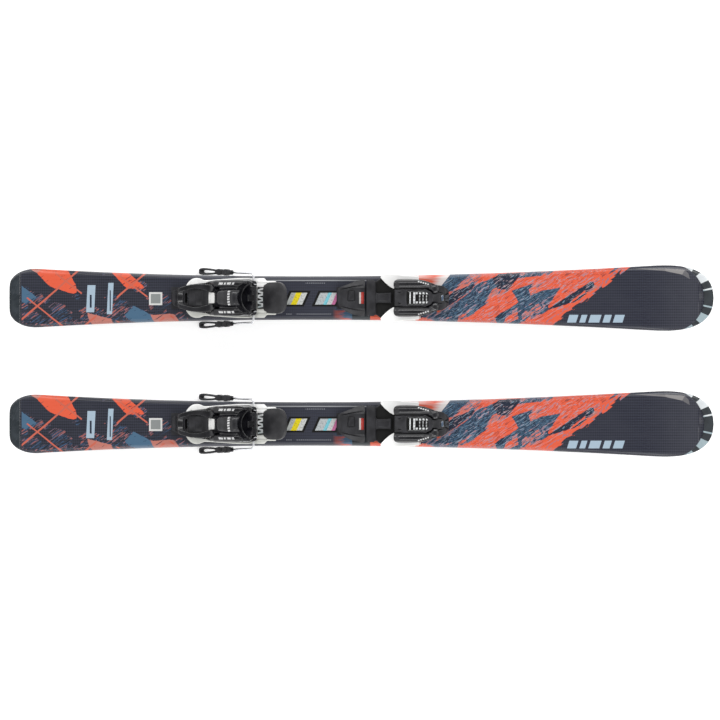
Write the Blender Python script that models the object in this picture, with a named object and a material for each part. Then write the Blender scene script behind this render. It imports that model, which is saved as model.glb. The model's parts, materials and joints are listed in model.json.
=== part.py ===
"""A pair of junior alpine skis with sliding toe and heel bindings, modelled as separate pieces.

Lengths are written in millimetres and turned into Blender's metres by MM. X runs along the skis
towards the tips, Y across them and Z up. Each piece is modelled once, on the centre line of one
ski with Z measured from the plane that the running base touches, and then placed on both skis.
The bindings are at rest: heel open, brake let down, nothing in them.
"""

import math

import bmesh
import bpy
from mathutils import Matrix, Vector

MM = 0.001
GAP = 0.3  # between pieces that touch on the real object

# The pair
SKI_NAMES = ("ski_a", "ski_b")
SKI_SPACING = 195.0  # centre line to centre line
SKI_LENGTH = 1090.0  # straight length, tail to tip
TAIL_X = -SKI_LENGTH / 2
TIP_X = SKI_LENGTH / 2

# Plan shape of a ski
WAIST_X = -64.0
WAIST_HALF = 33.7
TAIL_GAIN = 11.6  # how much wider than the waist each half is at the tail and at the tip
TIP_GAIN = 17.4
TAIL_REACH = 436.0  # distance from the waist at which those gains are reached
TIP_REACH = 530.0
TAIL_CORNER_LENGTH = 45.0  # quarter ellipse at each tail corner
TAIL_CORNER_DEPTH = 30.0
TIP_ROUND_X = 440.0  # where the tip's rounding starts
TIP_ROUND_POWERS = (2.9, 0.44)
NOSE_HALF = 4.0

# Side shape of a ski
CAMBER = 4.0
CAMBER_X = -57.0
TAIL_CONTACT_X = -480.0
TIP_CONTACT_X = 400.0
TIP_RISE = 45.0
TAIL_RISE = 6.0
DECK_Z = 19.0  # the flat top that carries the bindings
DECK_BACK_X = -300.0
DECK_FRONT_X = 150.0
END_THICKNESS = 7.0
EDGE_SIZE = (2.2, 2.0)  # steel edge, across and up
SKIN = 0.8  # topsheet
TAIL_CAP_X = -529.0  # front of the tail protector
TIP_ARC_X = 477.4  # centre and radius of the seam behind the tip protector
TIP_ARC_RADIUS = 53.0

# Binding track, an upside-down step that the sliders hook under
TRACK_HALF = 17.0
TRACK_FOOT_HALF = 13.0
TRACK_FOOT_TOP = 22.0
TRACK_TOP = 24.3
TRACK_BOTTOM = DECK_Z + GAP
HEEL_TRACK = (-294.0, -118.0)
TOE_TRACK = (-38.0, 118.0)
SLIDER_HALF = 21.0
SLIDER_FLOOR = TRACK_TOP + GAP

# Joint axes, as (x, z) on the ski
JAW_AXIS = (-215.0, 42.0)
BRAKE_AXIS = (-166.6, 31.4)
HEEL_LATCH_AXIS = (-275.5, 28.2)
TOE_LATCH_AXIS = (3.5, 27.8)
WING_AXIS = (114.0, 13.5)  # (x, y)
HEEL_SPRING_Z = 38.5
TOE_SPRING_Z = 43.0
JAW_OPEN_DEG = 25.0
BRAKE_OPEN_DEG = 40.0

# Brake
WIRE_RADIUS = 1.75
ARM_ROOT_Y = 38.2
ARM_TIP_Y = 41.8
ARM_LENGTH = 109.0
CRANK_Y = 20.35
PEDAL_BAR_X = 44.0
PADDLE_START = 46.0  # distances along the arm
PADDLE_LOOP_START = 73.0
PADDLE_THICKNESS = 9.0

# Everything is raised by this, so that the lowered brakes stand on Z = 0
LIFT = 42.1


# ---------------------------------------------------------------- scene and helpers


def clear_scene():
    for obj in list(bpy.data.objects):
        bpy.data.objects.remove(obj)


def collection_named(name):
    made = bpy.data.collections.new(name)
    bpy.context.scene.collection.children.link(made)
    return made


def material(name, color, roughness, metallic=0.0):
    made = bpy.data.materials.new(name)
    made.use_nodes = True
    shader = made.node_tree.nodes["Principled BSDF"]
    shader.inputs["Base Color"].default_value = (*color, 1.0)
    shader.inputs["Roughness"].default_value = roughness
    shader.inputs["Metallic"].default_value = metallic
    return made


def new_object(mesh):
    obj = bpy.data.objects.new("piece", mesh)
    bpy.context.scene.collection.objects.link(obj)
    return obj


def object_from(bm):
    bmesh.ops.recalc_face_normals(bm, faces=bm.faces)
    mesh = bpy.data.meshes.new("piece")
    bm.to_mesh(mesh)
    bm.free()
    return new_object(mesh)


def baked(obj):
    """The object's evaluated shape as a plain mesh object in world space. The old object goes."""
    graph = bpy.context.evaluated_depsgraph_get()
    mesh = bpy.data.meshes.new_from_object(obj.evaluated_get(graph))
    mesh.transform(obj.matrix_world)
    bm = bmesh.new()
    bm.from_mesh(mesh)
    bmesh.ops.remove_doubles(bm, verts=bm.verts, dist=0.002 * MM)
    bpy.data.objects.remove(obj)
    return object_from(bm)


def boolean(obj, tools, operation):
    for tool in tools:
        modifier = obj.modifiers.new(operation, "BOOLEAN")
        modifier.operation = operation
        modifier.object = tool
    bpy.context.view_layer.update()
    result = baked(obj)
    for tool in tools:
        bpy.data.objects.remove(tool)
    return result


def cut(obj, *tools):
    return boolean(obj, tools, "DIFFERENCE")


def join(obj, *tools):
    return boolean(obj, tools, "UNION")


def common(obj, *tools):
    return boolean(obj, tools, "INTERSECT")


def turned_about(obj, axis, degrees):
    """Turns the object about the line along Y through axis = (x, z)."""
    pivot = Matrix.Translation(Vector((axis[0], 0, axis[1])) * MM)
    turn = Matrix.Rotation(math.radians(degrees), 4, "Y")
    obj.data.transform(pivot @ turn @ pivot.inverted())
    return obj


def moved(obj, x=0.0, y=0.0, z=0.0):
    obj.data.transform(Matrix.Translation(Vector((x, y, z)) * MM))
    return obj


def box(x, y, z):
    """A block between two values on each axis."""
    bm = bmesh.new()
    bmesh.ops.create_cube(bm, size=1.0)
    size = Vector((x[1] - x[0], y[1] - y[0], z[1] - z[0])) * MM
    middle = Vector((x[0] + x[1], y[0] + y[1], z[0] + z[1])) * MM / 2
    bmesh.ops.scale(bm, vec=size, verts=bm.verts)
    bmesh.ops.translate(bm, vec=middle, verts=bm.verts)
    return object_from(bm)


def cylinder(radius, start, end, sides=16):
    """A cylinder between two points."""
    start, end = Vector(start) * MM, Vector(end) * MM
    along = end - start
    place = Matrix.Translation((start + end) / 2) @ along.to_track_quat("Z", "Y").to_matrix().to_4x4()
    bm = bmesh.new()
    bmesh.ops.create_cone(
        bm,
        cap_ends=True,
        segments=sides,
        radius1=radius * MM,
        radius2=radius * MM,
        depth=along.length,
        matrix=place,
    )
    return object_from(bm)


PLANES = {
    "XY": Matrix.Identity(4),
    "XZ": Matrix.Rotation(math.pi / 2, 4, "X"),
    "YZ": Matrix(((0, 0, 1, 0), (1, 0, 0, 0), (0, 1, 0, 0), (0, 0, 0, 1))),
}


def slab(outline, low, high, plane="XY"):
    """A flat outline made into a solid between two heights above its plane."""
    curve = bpy.data.curves.new("outline", "CURVE")
    curve.dimensions = "2D"
    curve.fill_mode = "BOTH"
    curve.extrude = (high - low) / 2 * MM
    spline = curve.splines.new("POLY")
    spline.points.add(len(outline) - 1)
    for point, (u, v) in zip(spline.points, outline):
        point.co = (u * MM, v * MM, 0.0, 1.0)
    spline.use_cyclic_u = True
    obj = new_object(curve)
    middle = (low + high) / 2 * MM
    # The XZ plane's own normal is -Y, so its heights are turned round.
    obj.matrix_world = PLANES[plane] @ Matrix.Translation((0, 0, -middle if plane == "XZ" else middle))
    bpy.context.view_layer.update()
    return baked(obj)


def arc(centre, radius, start, end, steps):
    """Points on a circle from one angle to another, in degrees, both ends included."""
    angles = [math.radians(start + (end - start) * i / steps) for i in range(steps + 1)]
    return [(centre[0] + radius * math.cos(a), centre[1] + radius * math.sin(a)) for a in angles]


def rounded(outline, radius, steps=3):
    """The outline with each corner replaced by an arc-like curve that starts radius before it."""
    points = [Vector(p) for p in outline]
    made = []
    for i, corner in enumerate(points):
        before, after = points[i - 1], points[(i + 1) % len(points)]
        reach_in = min(radius, 0.45 * (before - corner).length)
        reach_out = min(radius, 0.45 * (after - corner).length)
        first = corner + (before - corner).normalized() * reach_in
        last = corner + (after - corner).normalized() * reach_out
        for step in range(steps + 1):
            t = step / steps
            made.append(first * (1 - t) ** 2 + corner * 2 * t * (1 - t) + last * t**2)
    return [tuple(p) for p in made]


def mirrored(half):
    """A whole outline from its +Y half, listed from one end of the X axis to the other."""
    return [*half, *[(u, -v) for u, v in reversed(half) if abs(v) > 1e-6]]


def loft(rings):
    """A solid through closed rings of points, with the first and last ring capped.

    Each cell is split from its outer back corner, so that nested lofts keep their distance.
    """
    bm = bmesh.new()
    rows = [[bm.verts.new(Vector(p) * MM) for p in ring] for ring in rings]
    for back, front in zip(rows, rows[1:]):
        for i in range(len(back)):
            j = (i + 1) % len(back)
            cell = [back[i], back[j], front[j], front[i]]
            if abs(back[j].co.y) > abs(back[i].co.y):
                cell = [*cell[1:], cell[0]]
            bm.faces.new(cell[:3])
            bm.faces.new((cell[0], cell[2], cell[3]))
    bm.faces.new(rows[0])
    bm.faces.new(rows[-1])
    return object_from(bm)


def tube(points, radius, resolution=2):
    """A round wire through the points, as a mesh with closed ends."""
    curve = bpy.data.curves.new("wire", "CURVE")
    curve.dimensions = "3D"
    curve.bevel_depth = radius * MM
    curve.bevel_resolution = resolution
    curve.use_fill_caps = True
    spline = curve.splines.new("POLY")
    spline.points.add(len(points) - 1)
    for point, place in zip(spline.points, points):
        point.co = (*(Vector(place) * MM), 1.0)
    obj = new_object(curve)
    bpy.context.view_layer.update()
    return baked(obj)


def filleted(route, radius, steps=3):
    """An open route with its corners rounded like bent wire."""
    points = [Vector(p) for p in route]
    made = [points[0]]
    for before, corner, after in zip(points, points[1:], points[2:]):
        first = corner + (before - corner).normalized() * radius
        last = corner + (after - corner).normalized() * radius
        for step in range(steps + 1):
            t = step / steps
            made.append(first * (1 - t) ** 2 + corner * 2 * t * (1 - t) + last * t**2)
    return [*made, points[-1]]


def coil(radius, wire, x_start, x_end, z, turns, per_turn=10):
    """A compression spring along X."""
    count = turns * per_turn
    points = []
    for i in range(count + 1):
        angle = 2 * math.pi * i / per_turn
        x = x_start + (x_end - x_start) * i / count
        points.append((x, radius * math.cos(angle), z + radius * math.sin(angle)))
    return tube(points, wire, resolution=1)


# ---------------------------------------------------------------- the ski's own shape


def smooth(t):
    t = min(max(t, 0.0), 1.0)
    return t * t * (3 - 2 * t)


def side_half(x):
    """Half width of the sidecut, with no rounding at the ends."""
    if x < WAIST_X:
        return WAIST_HALF + TAIL_GAIN * ((WAIST_X - x) / TAIL_REACH) ** 2.25
    return WAIST_HALF + TIP_GAIN * ((x - WAIST_X) / TIP_REACH) ** 1.85


def half_width(x):
    """Half width of the ski's plan outline."""
    half = side_half(x)
    share = (TAIL_X + TAIL_CORNER_LENGTH - x) / TAIL_CORNER_LENGTH
    if share > 0:
        return half - TAIL_CORNER_DEPTH * (1 - math.sqrt(max(1 - share**2, 0.0)))
    if x > TIP_ROUND_X:
        share = min((x - TIP_ROUND_X) / (TIP_X - TIP_ROUND_X), 1.0)
        half *= (1 - share ** TIP_ROUND_POWERS[0]) ** TIP_ROUND_POWERS[1]
    return max(half, NOSE_HALF)


def base_z(x):
    """Height of the running base: camber between the contact points, and turned-up ends."""
    if x > TIP_CONTACT_X:
        return TIP_RISE * ((x - TIP_CONTACT_X) / (TIP_X - TIP_CONTACT_X)) ** 2.2
    if x < TAIL_CONTACT_X:
        return TAIL_RISE * ((TAIL_CONTACT_X - x) / (TAIL_CONTACT_X - TAIL_X)) ** 2
    reach = (TIP_CONTACT_X if x > CAMBER_X else TAIL_CONTACT_X) - CAMBER_X
    return CAMBER * (1 - ((x - CAMBER_X) / reach) ** 2) ** 2


def top_z(x):
    """Height of the top: flat under the bindings, thinning towards both ends."""
    if x > DECK_FRONT_X:
        share = smooth((x - DECK_FRONT_X) / (TIP_CONTACT_X + 20 - DECK_FRONT_X))
    else:
        share = smooth((DECK_BACK_X - x) / (DECK_BACK_X - TAIL_CONTACT_X + 20))
    end = END_THICKNESS * (1 - 0.35 * smooth((abs(x) - 480) / 65))
    return (1 - share) * DECK_Z + share * (base_z(x) + end)


def slope_width(x):
    """How far the top's sloping side reaches in from the edge."""
    return 4.5 + 7.0 * smooth((x - 380) / 120) + 5.0 * smooth((-430 - x) / 90)


def wall_z(x):
    """Height at which the upright side wall turns into the slope."""
    return base_z(x) + 1.6 + 0.35 * (top_z(x) - base_z(x))


def spaced(start, end, count):
    return [start + (end - start) * i / (count - 1) for i in range(count)]


def body_stations():
    """Places along the ski between the tail protector and the tip, closer where it curves."""
    return [
        *spaced(TAIL_CAP_X + GAP, -500, 5),
        *spaced(-480, -440, 2),
        *spaced(-390, 350, 11),
        *spaced(390, 470, 4),
        *spaced(484, TIP_ARC_X + TIP_ARC_RADIUS + 5, 5),
    ]


def outside_tip_arc(radius):
    """A block that covers everything ahead of the arc of this radius."""
    curve = arc((TIP_ARC_X, 0), radius, 90, -90, 20)
    far = [(TIP_ARC_X, -120), (TIP_X + 60, -120), (TIP_X + 60, 120), (TIP_ARC_X, 120)]
    return slab([*curve, *far], -50, 150)


def full_section(x, inset=0.0):
    """The ski's whole outline across at x, moved in by inset all round."""
    half, slope = half_width(x) - inset, slope_width(x)
    slope = min(slope, 0.8 * half)
    low, wall, top = base_z(x) + inset, wall_z(x), top_z(x) - inset
    right = [(half, low), (half, wall), (half - slope, top)]
    return [(x, y, z) for y, z in right] + [(x, -y, z) for y, z in reversed(right)]


def topsheet():
    rings = []
    for x in body_stations():
        half, slope = half_width(x), slope_width(x)
        low, wall, top = base_z(x) + EDGE_SIZE[1] + GAP, wall_z(x), top_z(x)
        outer = [(half, low), (half, wall), (half - slope, top)]
        inner = [(half - slope - 0.3 * SKIN, top - SKIN), (half - SKIN, wall - 0.3 * SKIN), (half - SKIN, low)]
        right = [(x, y, z) for y, z in [*outer]]
        left = [(x, -y, z) for y, z in reversed(outer)]
        under_left = [(x, -y, z) for y, z in reversed(inner)][::1]
        under_right = [(x, y, z) for y, z in inner]
        rings.append([*right, *left, *under_left, *under_right])
    return cut(loft(rings), outside_tip_arc(TIP_ARC_RADIUS))


def core():
    rings = []
    inset = SKIN + GAP
    for x in body_stations():
        half, slope = half_width(x) - inset, slope_width(x)
        low, wall, top = base_z(x) + EDGE_SIZE[1] + GAP, wall_z(x) - 0.3 * inset, top_z(x) - inset
        right = [(half, low), (half, wall), (half - slope, top)]
        rings.append([(x, y, z) for y, z in right] + [(x, -y, z) for y, z in reversed(right)])
    return cut(loft(rings), outside_tip_arc(TIP_ARC_RADIUS))


def running_base():
    rings = []
    for x in body_stations():
        half, low = half_width(x) - EDGE_SIZE[0] - GAP, base_z(x)
        high = low + EDGE_SIZE[1]
        rings.append([(x, half, low), (x, half, high), (x, -half, high), (x, -half, low)])
    return cut(loft(rings), outside_tip_arc(TIP_ARC_RADIUS - EDGE_SIZE[0] - GAP))


def steel_edge():
    """One hoop: up one side, round behind the tip protector and back down the other."""
    middle = TIP_ARC_RADIUS - EDGE_SIZE[0] / 2
    side = []
    for x in [TAIL_CAP_X + 1.2, *body_stations()[1:]]:
        y = half_width(x) - EDGE_SIZE[0] / 2
        if math.hypot(max(x - TIP_ARC_X, 0.0), y) < middle:
            side.append((x, y))
    last = math.degrees(math.atan2(side[-1][1], side[-1][0] - TIP_ARC_X))
    nose = arc((TIP_ARC_X, 0), middle, last - 6, 6 - last, 10)
    route = [Vector(p) for p in [*side, *nose, *[(x, -y) for x, y in reversed(side)]]]
    rings = []
    for i, point in enumerate(route):
        ahead = route[min(i + 1, len(route) - 1)] - route[max(i - 1, 0)]
        across = Vector((-ahead.y, ahead.x)).normalized() * EDGE_SIZE[0] / 2
        outer, inner = point + across, point - across
        rings.append(
            [
                (*outer, base_z(outer.x)),
                (*outer, base_z(outer.x) + EDGE_SIZE[1]),
                (*inner, base_z(inner.x) + EDGE_SIZE[1]),
                (*inner, base_z(inner.x)),
            ]
        )
    return loft(rings)


def tail_protector():
    return loft([full_section(x) for x in [*spaced(TAIL_X, TAIL_X + 2, 4), *spaced(TAIL_X + 4, TAIL_CAP_X, 5)]])


def tip_protector():
    stations = [*spaced(495, TIP_X - 8, 7), TIP_X - 4, TIP_X - 1.5, TIP_X]
    whole = loft([full_section(x) for x in stations])
    return common(whole, outside_tip_arc(TIP_ARC_RADIUS + GAP))


# ---------------------------------------------------------------- tracks


def track(ends):
    half = [
        (TRACK_FOOT_HALF, TRACK_BOTTOM),
        (TRACK_FOOT_HALF, TRACK_FOOT_TOP),
        (TRACK_HALF, TRACK_FOOT_TOP),
        (TRACK_HALF, TRACK_TOP),
    ]
    profile = [*half, *[(-y, z) for y, z in reversed(half)]]
    return slab(profile, *ends, plane="YZ")


def slider_channel(ends, half=SLIDER_HALF, top=28.4):
    """A channel that wraps the track, open below."""
    run = TRACK_HALF + GAP
    hook = TRACK_FOOT_HALF + GAP
    low = TRACK_BOTTOM + GAP
    side = [
        (half, top),
        (half, low),
        (hook, low),
        (hook, TRACK_FOOT_TOP - GAP),
        (run, TRACK_FOOT_TOP - GAP),
        (run, SLIDER_FLOOR),
    ]
    profile = [*side, *[(-y, z) for y, z in reversed(side)]]
    return slab(profile, *ends, plane="YZ")


# ---------------------------------------------------------------- heel


def heel_chassis():
    """The white slider that carries the heel and the brake."""
    plan = mirrored(
        [
            (-272, 19),
            (-265, 28),
            (-258, 31),
            (-250, 31),
            (-244, 27.5),
            (-215, 28.5),
            (-190, 31),
            (-148, 31),
            (-145, 26),
            (-151, 17),
        ]
    )
    body = join(slider_channel((-271, -151), top=26.0), slab(plan, SLIDER_FLOOR, 28.3))
    wing = [
        (-271, 19.5),
        (-264.5, 27.8),
        (-258, 30.8),
        (-250, 30.8),
        (-244, 27.3),
        (-228, 28.0),
        (-228, 25.8),
        (-245, 22.6),
        (-262, 21.8),
    ]
    rail = [(-229, 25.9), (-229, 27.9), (-190, 30.8), (-174, 30.8), (-174, 29.0), (-190, 28.9)]
    prong = [(-148, 23.6), (-131, 23.6), (-131, 26.0), (-148, 26.0)]
    parts = []
    for sign in (1, -1):
        parts.append(slab([(x, sign * y) for x, y in wing], 26.5, 39))
        parts.append(slab([(x, sign * y) for x, y in rail], 26.5, 30.5))
        parts.append(slab([(x, sign * y) for x, y in prong], SLIDER_FLOOR + 0.4, 27.6))
    parts.append(box((-160, -151.5), (-16.6, 16.6), (26.5, 33.5)))
    body = join(body, *parts)
    grooves = [box((-162, -150), (y - 1.1, y + 1.1), (31, 40)) for y in spaced(-11.5, 11.5, 4)]
    return cut(body, *grooves)


def heel_housing():
    """The fixed block under the lever: spring tunnel behind, tower round the pin in front."""
    side = [
        (-270, 28.6),
        (-270, 46),
        (-264, 49.5),
        (-240, 51),
        (-226, 58),
        (-218, 60),
        (-206, 58),
        (-198.5, 50),
        (-196, 40),
        (-196, 28.6),
    ]
    body = slab(side, -12.8, 12.8, plane="XZ")
    skirt = slab(rounded(mirrored([(-268, 15), (-262, 19), (-204, 19), (-198, 15)]), 4, 1), 28.6, 31.5)
    tunnel = cylinder(8.6, (-272, 0, HEEL_SPRING_Z), (-224, 0, HEEL_SPRING_Z))
    pin_hole = cylinder(3.4, (JAW_AXIS[0], -30, JAW_AXIS[1]), (JAW_AXIS[0], 30, JAW_AXIS[1]))
    return cut(join(body, skirt), tunnel, pin_hole)


def heel_scale():
    """The release scale, a small plate on the slope behind the tower."""
    slope = math.degrees(math.atan2(58 - 51, -226 + 240))
    plate = slab(rounded(mirrored([(-5.2, 8.6), (5.2, 7.4)]), 2.0, 2), 0.4, 2.4)
    turned = plate
    turned.data.transform(Matrix.Rotation(math.radians(-slope), 4, "Y"))
    return moved(turned, x=-232.2, z=54.9)


def heel_pin():
    x, z = JAW_AXIS
    return cylinder(3.0, (x, -26.5, z), (x, 26.5, z))


def heel_jaw():
    """The cup that holds the boot's heel, modelled shut and then swung open."""
    plan = mirrored([(-228, 21.5), (-222, 26), (-212, 28.3), (-166, 28.3), (-163, 26)])
    side = [
        (-226, 40),
        (-222, 33.6),
        (-208, 33.6),
        (-196, 35.4),
        (-163, 35.4),
        (-163, 38.6),
        (-169, 41),
        (-168, 66),
        (-173, 71.5),
        (-182, 74),
        (-206, 72.5),
        (-213, 68),
    ]
    body = common(slab(rounded(plan, 5, 2), 20, 90), slab(side, -40, 40, plane="XZ"))
    x, z = JAW_AXIS
    heel_room = cylinder(24.0, (-159.5, 0, 39), (-159.5, 0, 67), 28)
    above_lip = cylinder(18.0, (-158.0, 0, 62), (-158.0, 0, 85), 24)
    inner = cylinder(20.4, (x, -20.1, z), (x, 20.1, z), 24)
    rear_gap = box((-240, x + 2), (-20.1, 20.1), (20, 62.3))
    below = box((-240, -193), (-20.1, 20.1), (20, z))
    hole = cylinder(3.4, (x, -40, z), (x, 40, z))
    body = cut(body, heel_room, above_lip, inner, rear_gap, below, hole)
    notch = box((-172, -160), (-4.5, 4.5), (34, 43))
    sides = [box((-170, -150), sorted((s * 17.5, s * 40)), (40, 80)) for s in (1, -1)]
    crank_slots = [box((-167.4, -150), sorted((s * 17.8, s * 22.9)), (30, 41)) for s in (1, -1)]
    body = cut(body, notch, *sides, *crank_slots)
    return turned_about(body, JAW_AXIS, -JAW_OPEN_DEG)


def heel_lever():
    """A fork that reaches back from the pin to the bar that is pushed down to step out."""
    x, z = JAW_AXIS
    outer = [(-287, 14.5), (-284, 17.5), (-270, 20.8), (-255, 21.7), (-240, 21), (-230, 19.6), (-205, 19.6)]
    side = [
        (-287, 47.5),
        (-286, 52),
        (-282, 54),
        (-262, 57.5),
        (-242, 61.5),
        (-230, 62),
        (-216, 51),
        (-208, 47),
        (-206.5, 42),
        (-209, 36),
        (-215, 33.6),
        (-221, 36),
        (-232, 51),
        (-242, 53),
        (-262, 49.5),
        (-280, 46.5),
    ]
    body = common(slab(mirrored(outer), 20, 90), slab(side, -40, 40, plane="XZ"))
    opening = slab(mirrored([(-275, 9.5), (-271, 13.2), (-190, 13.2)]), 20, 90)
    hole = cylinder(3.4, (x, -40, z), (x, 40, z))
    return cut(body, opening, hole)


def heel_latch():
    """The tab behind the heel that is lifted to slide it along the track."""
    plan = rounded(mirrored([(-293, 10), (-288, 13), (-273.5, 13)]), 2, 2)
    side = [(-293, 26.5), (-291, 31.5), (-288, 32), (-284, 29.5), (-274, 30.5), (-273.5, 28), (-276, 25), (-291, 25)]
    return common(slab(plan, 20, 40), slab(side, -30, 30, plane="XZ"))


def adjusting_screw(head, shank, head_x, shank_x, z):
    """A slotted head on a plain shank. head and shank are radii."""
    body = join(
        cylinder(head, (head_x[0], 0, z), (head_x[1], 0, z)),
        cylinder(shank, (min(*head_x, *shank_x) + 1, 0, z), (max(*head_x, *shank_x) - 1, 0, z), 12),
    )
    outward = head_x[0] if abs(head_x[0]) > abs(head_x[1]) else head_x[1]
    return cut(body, box((outward - 2, outward + 2), (-0.9, 0.9), (z - 12, z + 12)))


# ---------------------------------------------------------------- brake


def brake_bracket():
    x, z = BRAKE_AXIS
    body = box((-182, -161.6), (-27.3, 27.3), (28.6, 34.6))
    slots = [box((-171, -155), sorted((s * 18.2, s * 22.5)), (29.2, 40)) for s in (1, -1)]
    bore = cylinder(2.1, (x, -40, z), (x, 40, z), 12)
    relief = box((-164.2, -155), (-18.3, 18.3), (33.4, 40))
    return cut(body, *slots, bore, relief)


def brake_points():
    """The wire's route on the +Y side, shut, measured from the brake's axis."""
    arm = Vector((-math.sqrt(ARM_LENGTH**2 - (ARM_TIP_Y - ARM_ROOT_Y) ** 2), ARM_TIP_Y - ARM_ROOT_Y, 0))
    arm_end = Vector((0, ARM_ROOT_Y, 0)) + arm.normalized() * (PADDLE_LOOP_START - 4)
    return [(PEDAL_BAR_X, 0, 1), (PEDAL_BAR_X, CRANK_Y, 1), (0, CRANK_Y, 0), (0, ARM_ROOT_Y, 0), tuple(arm_end)]


def brake_open(obj):
    """Moves a piece drawn from the brake's axis to its place, swung open."""
    moved(obj, x=BRAKE_AXIS[0], z=BRAKE_AXIS[1])
    return turned_about(obj, BRAKE_AXIS, -BRAKE_OPEN_DEG)


def brake_wire():
    half = filleted(brake_points(), 3.6)
    other = [(x, -y, z) for x, y, z in half[1:]]
    return brake_open(tube([*reversed(other), *half], WIRE_RADIUS))


def brake_pedal():
    plan = rounded(mirrored([(27.5, 21.5), (31, 24.8), (58, 24.8), (66, 17)]), 6, 2)
    side = [(27.5, -3.5), (27.5, 2.5), (33, 5.2), (46, 6.6), (57, 5.4), (64, 1.8), (66, -1.2), (66, -3.5)]
    body = common(slab(plan, -20, 20), slab(side, -40, 40, plane="XZ"))
    bar = box((PEDAL_BAR_X - 2.4, PEDAL_BAR_X + 2.4), (-CRANK_Y - 2.3, CRANK_Y + 2.3), (-10, 3.2))
    cranks = [box((20, PEDAL_BAR_X), sorted((s * (CRANK_Y - 2.3), s * (CRANK_Y + 2.3))), (-10, 3.2)) for s in (1, -1)]
    return brake_open(cut(body, bar, *cranks))


def brake_paddle(sign):
    """A slim loop moulded on the end of the wire. It is drawn along +U and then laid on the arm."""
    neck = [(PADDLE_START, 3.0), (50, 3.4), (54, 4.1), (58, 3.5), (62, 3.5), (66, 4.2), (70, 3.7)]
    loop = [(78, 4.1), (96, 4.7)]
    end = [(u, abs(v)) for u, v in arc((ARM_LENGTH - 4.8, 0), 4.8, 80, 0, 4)]
    outline = mirrored([*neck, *loop, *end])
    body = slab(outline, -PADDLE_THICKNESS / 2, PADDLE_THICKNESS / 2)
    slot = mirrored([(77, 0.9), (80, 1.6), (100, 1.9), (104, 1.0)])
    bore = cylinder(WIRE_RADIUS + GAP, (PADDLE_START - 5, 0, 0), (PADDLE_LOOP_START - 2, 0, 0), 12)
    body = cut(body, slab(slot, -20, 20), bore)
    splay = math.atan2(ARM_TIP_Y - ARM_ROOT_Y, ARM_LENGTH)
    body.data.transform(Matrix.Rotation(math.pi - sign * splay, 4, "Z"))
    return brake_open(moved(body, y=sign * ARM_ROOT_Y))


# ---------------------------------------------------------------- toe


def toe_housing():
    """The black slider and the tower that the wings turn on, with the release spring's bore."""
    channel = slider_channel((8, 118))
    shelf = box((8.6, 28), (-26.5, 26.5), (25.2, 28.1))
    side = [
        (70, 33.4),
        (70, 51.5),
        (53.5, 51.5),
        (54, 55),
        (62, 60),
        (72, 61.5),
        (100, 61),
        (108, 56),
        (118, 48.6),
        (126, 48.6),
        (132, 45),
        (132, 26),
        (92, 26),
        (92, 33.4),
    ]
    tower_plan = mirrored([(53, 12.6), (62, 13.8), (98, 13.4), (106.5, 6.2), (132, 6.2)])
    tower = common(slab(tower_plan, 20, 80), slab(side, -40, 40, plane="XZ"))
    block = mirrored([(94, 20), (126, 20.3), (136, 12.5)])
    low_side = [(94, 25.2), (94, 40), (104, 49.8), (126, 49.8), (136, 45), (136, 25.2)]
    front = common(slab(block, 20, 80), slab(low_side, -40, 40, plane="XZ"))
    x, y = WING_AXIS
    posts = [cylinder(3.6, (x, s * y, 45), (x, s * y, 61)) for s in (1, -1)]
    body = join(channel, shelf, tower, front, *posts)
    bore = cylinder(7.4, (78, 0, TOE_SPRING_Z), (140, 0, TOE_SPRING_Z))
    window = box((123, 130), (-5.5, 5.5), (47.8, 60))
    return cut(body, bore, window)


def toe_base():
    """The white plate between the slider and the wings, notched in a V at the back."""
    plan = mirrored(
        [(49, 14.5), (45, 17), (30, 31), (29, 33), (36, 36.6), (54, 36.6), (68, 34.6), (89.5, 33.4), (89.5, 24)]
    )
    body = slab(plan, 28.8, 33)
    outline = [(31, 34.4), (36, 36.5), (54, 36.5), (66, 34.9), (64, 34.4)]
    skirts = [slab([(x, s * y) for x, y in outline], 22.5, 30) for s in (1, -1)]
    return join(body, *skirts)


def toe_wing(sign):
    """One jaw: a lip over the boot's toe, an upright wall beside it and a boss round the post."""
    x, y = WING_AXIS
    boss = arc((x, y), 6.3, -60, 75, 4)
    outer = [(107, 22.8), (94, 27.4), (80, 29.3), (66, 30), (56, 29), (51, 25.5), (49.6, 21), (51.5, 16.5), (57, 14.8)]
    inner = [(100, 14.6), (107.3, 12.3)]
    lip = slab([*boss, *outer, *inner], 51, 64)
    wall = slab([(53, 24), (57, 28.2), (82, 28.2), (90, 25.5), (90, 22), (56, 21.5)], 34, 53)
    hole = cylinder(4.0, (x, y, 30), (x, y, 61.4))
    slope = slab([(45, 57), (62, 66), (45, 66)], -5, 40, plane="XZ")
    body = cut(join(lip, wall), hole, slope)
    if sign < 0:
        body.data.transform(Matrix.Scale(-1, 4, (0, 1, 0)))
        body.data.flip_normals()
    return body


def afd_plate():
    """The plate that the boot's toe rests on. It slides across the ski."""
    bar = slab(rounded(mirrored([(8, 25.5), (12, 27.5), (19, 27.5), (22, 23)]), 2, 1), 28.9, 35)
    tongue = slab(mirrored([(18, 7.8), (47, 7.8)]), 28.9, 33.6)
    return join(bar, tongue)


def toe_latch():
    """The shield behind the toe that is lifted to slide the toe along the track."""
    plan = mirrored([(-41, 8.5), (-31, 18.3), (-15, 24.5), (-6, 27), (6.2, 28.3)])
    side = [(-41, 25), (-41, 28.2), (-37, 30.3), (-22, 31.6), (5.6, 31.6), (6.2, 30), (6.2, 27.2), (2.5, 25)]
    across = mirrored_profile([(29, 25), (29, 27.2), (15, 32)])
    body = common(slab(plan, 20, 40), slab(side, -40, 40, plane="XZ"), slab(across, -60, 20, plane="YZ"))
    return cut(body, box((-21.5, -9.8), (-2.5, 9.5), (30, 40)))


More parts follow.
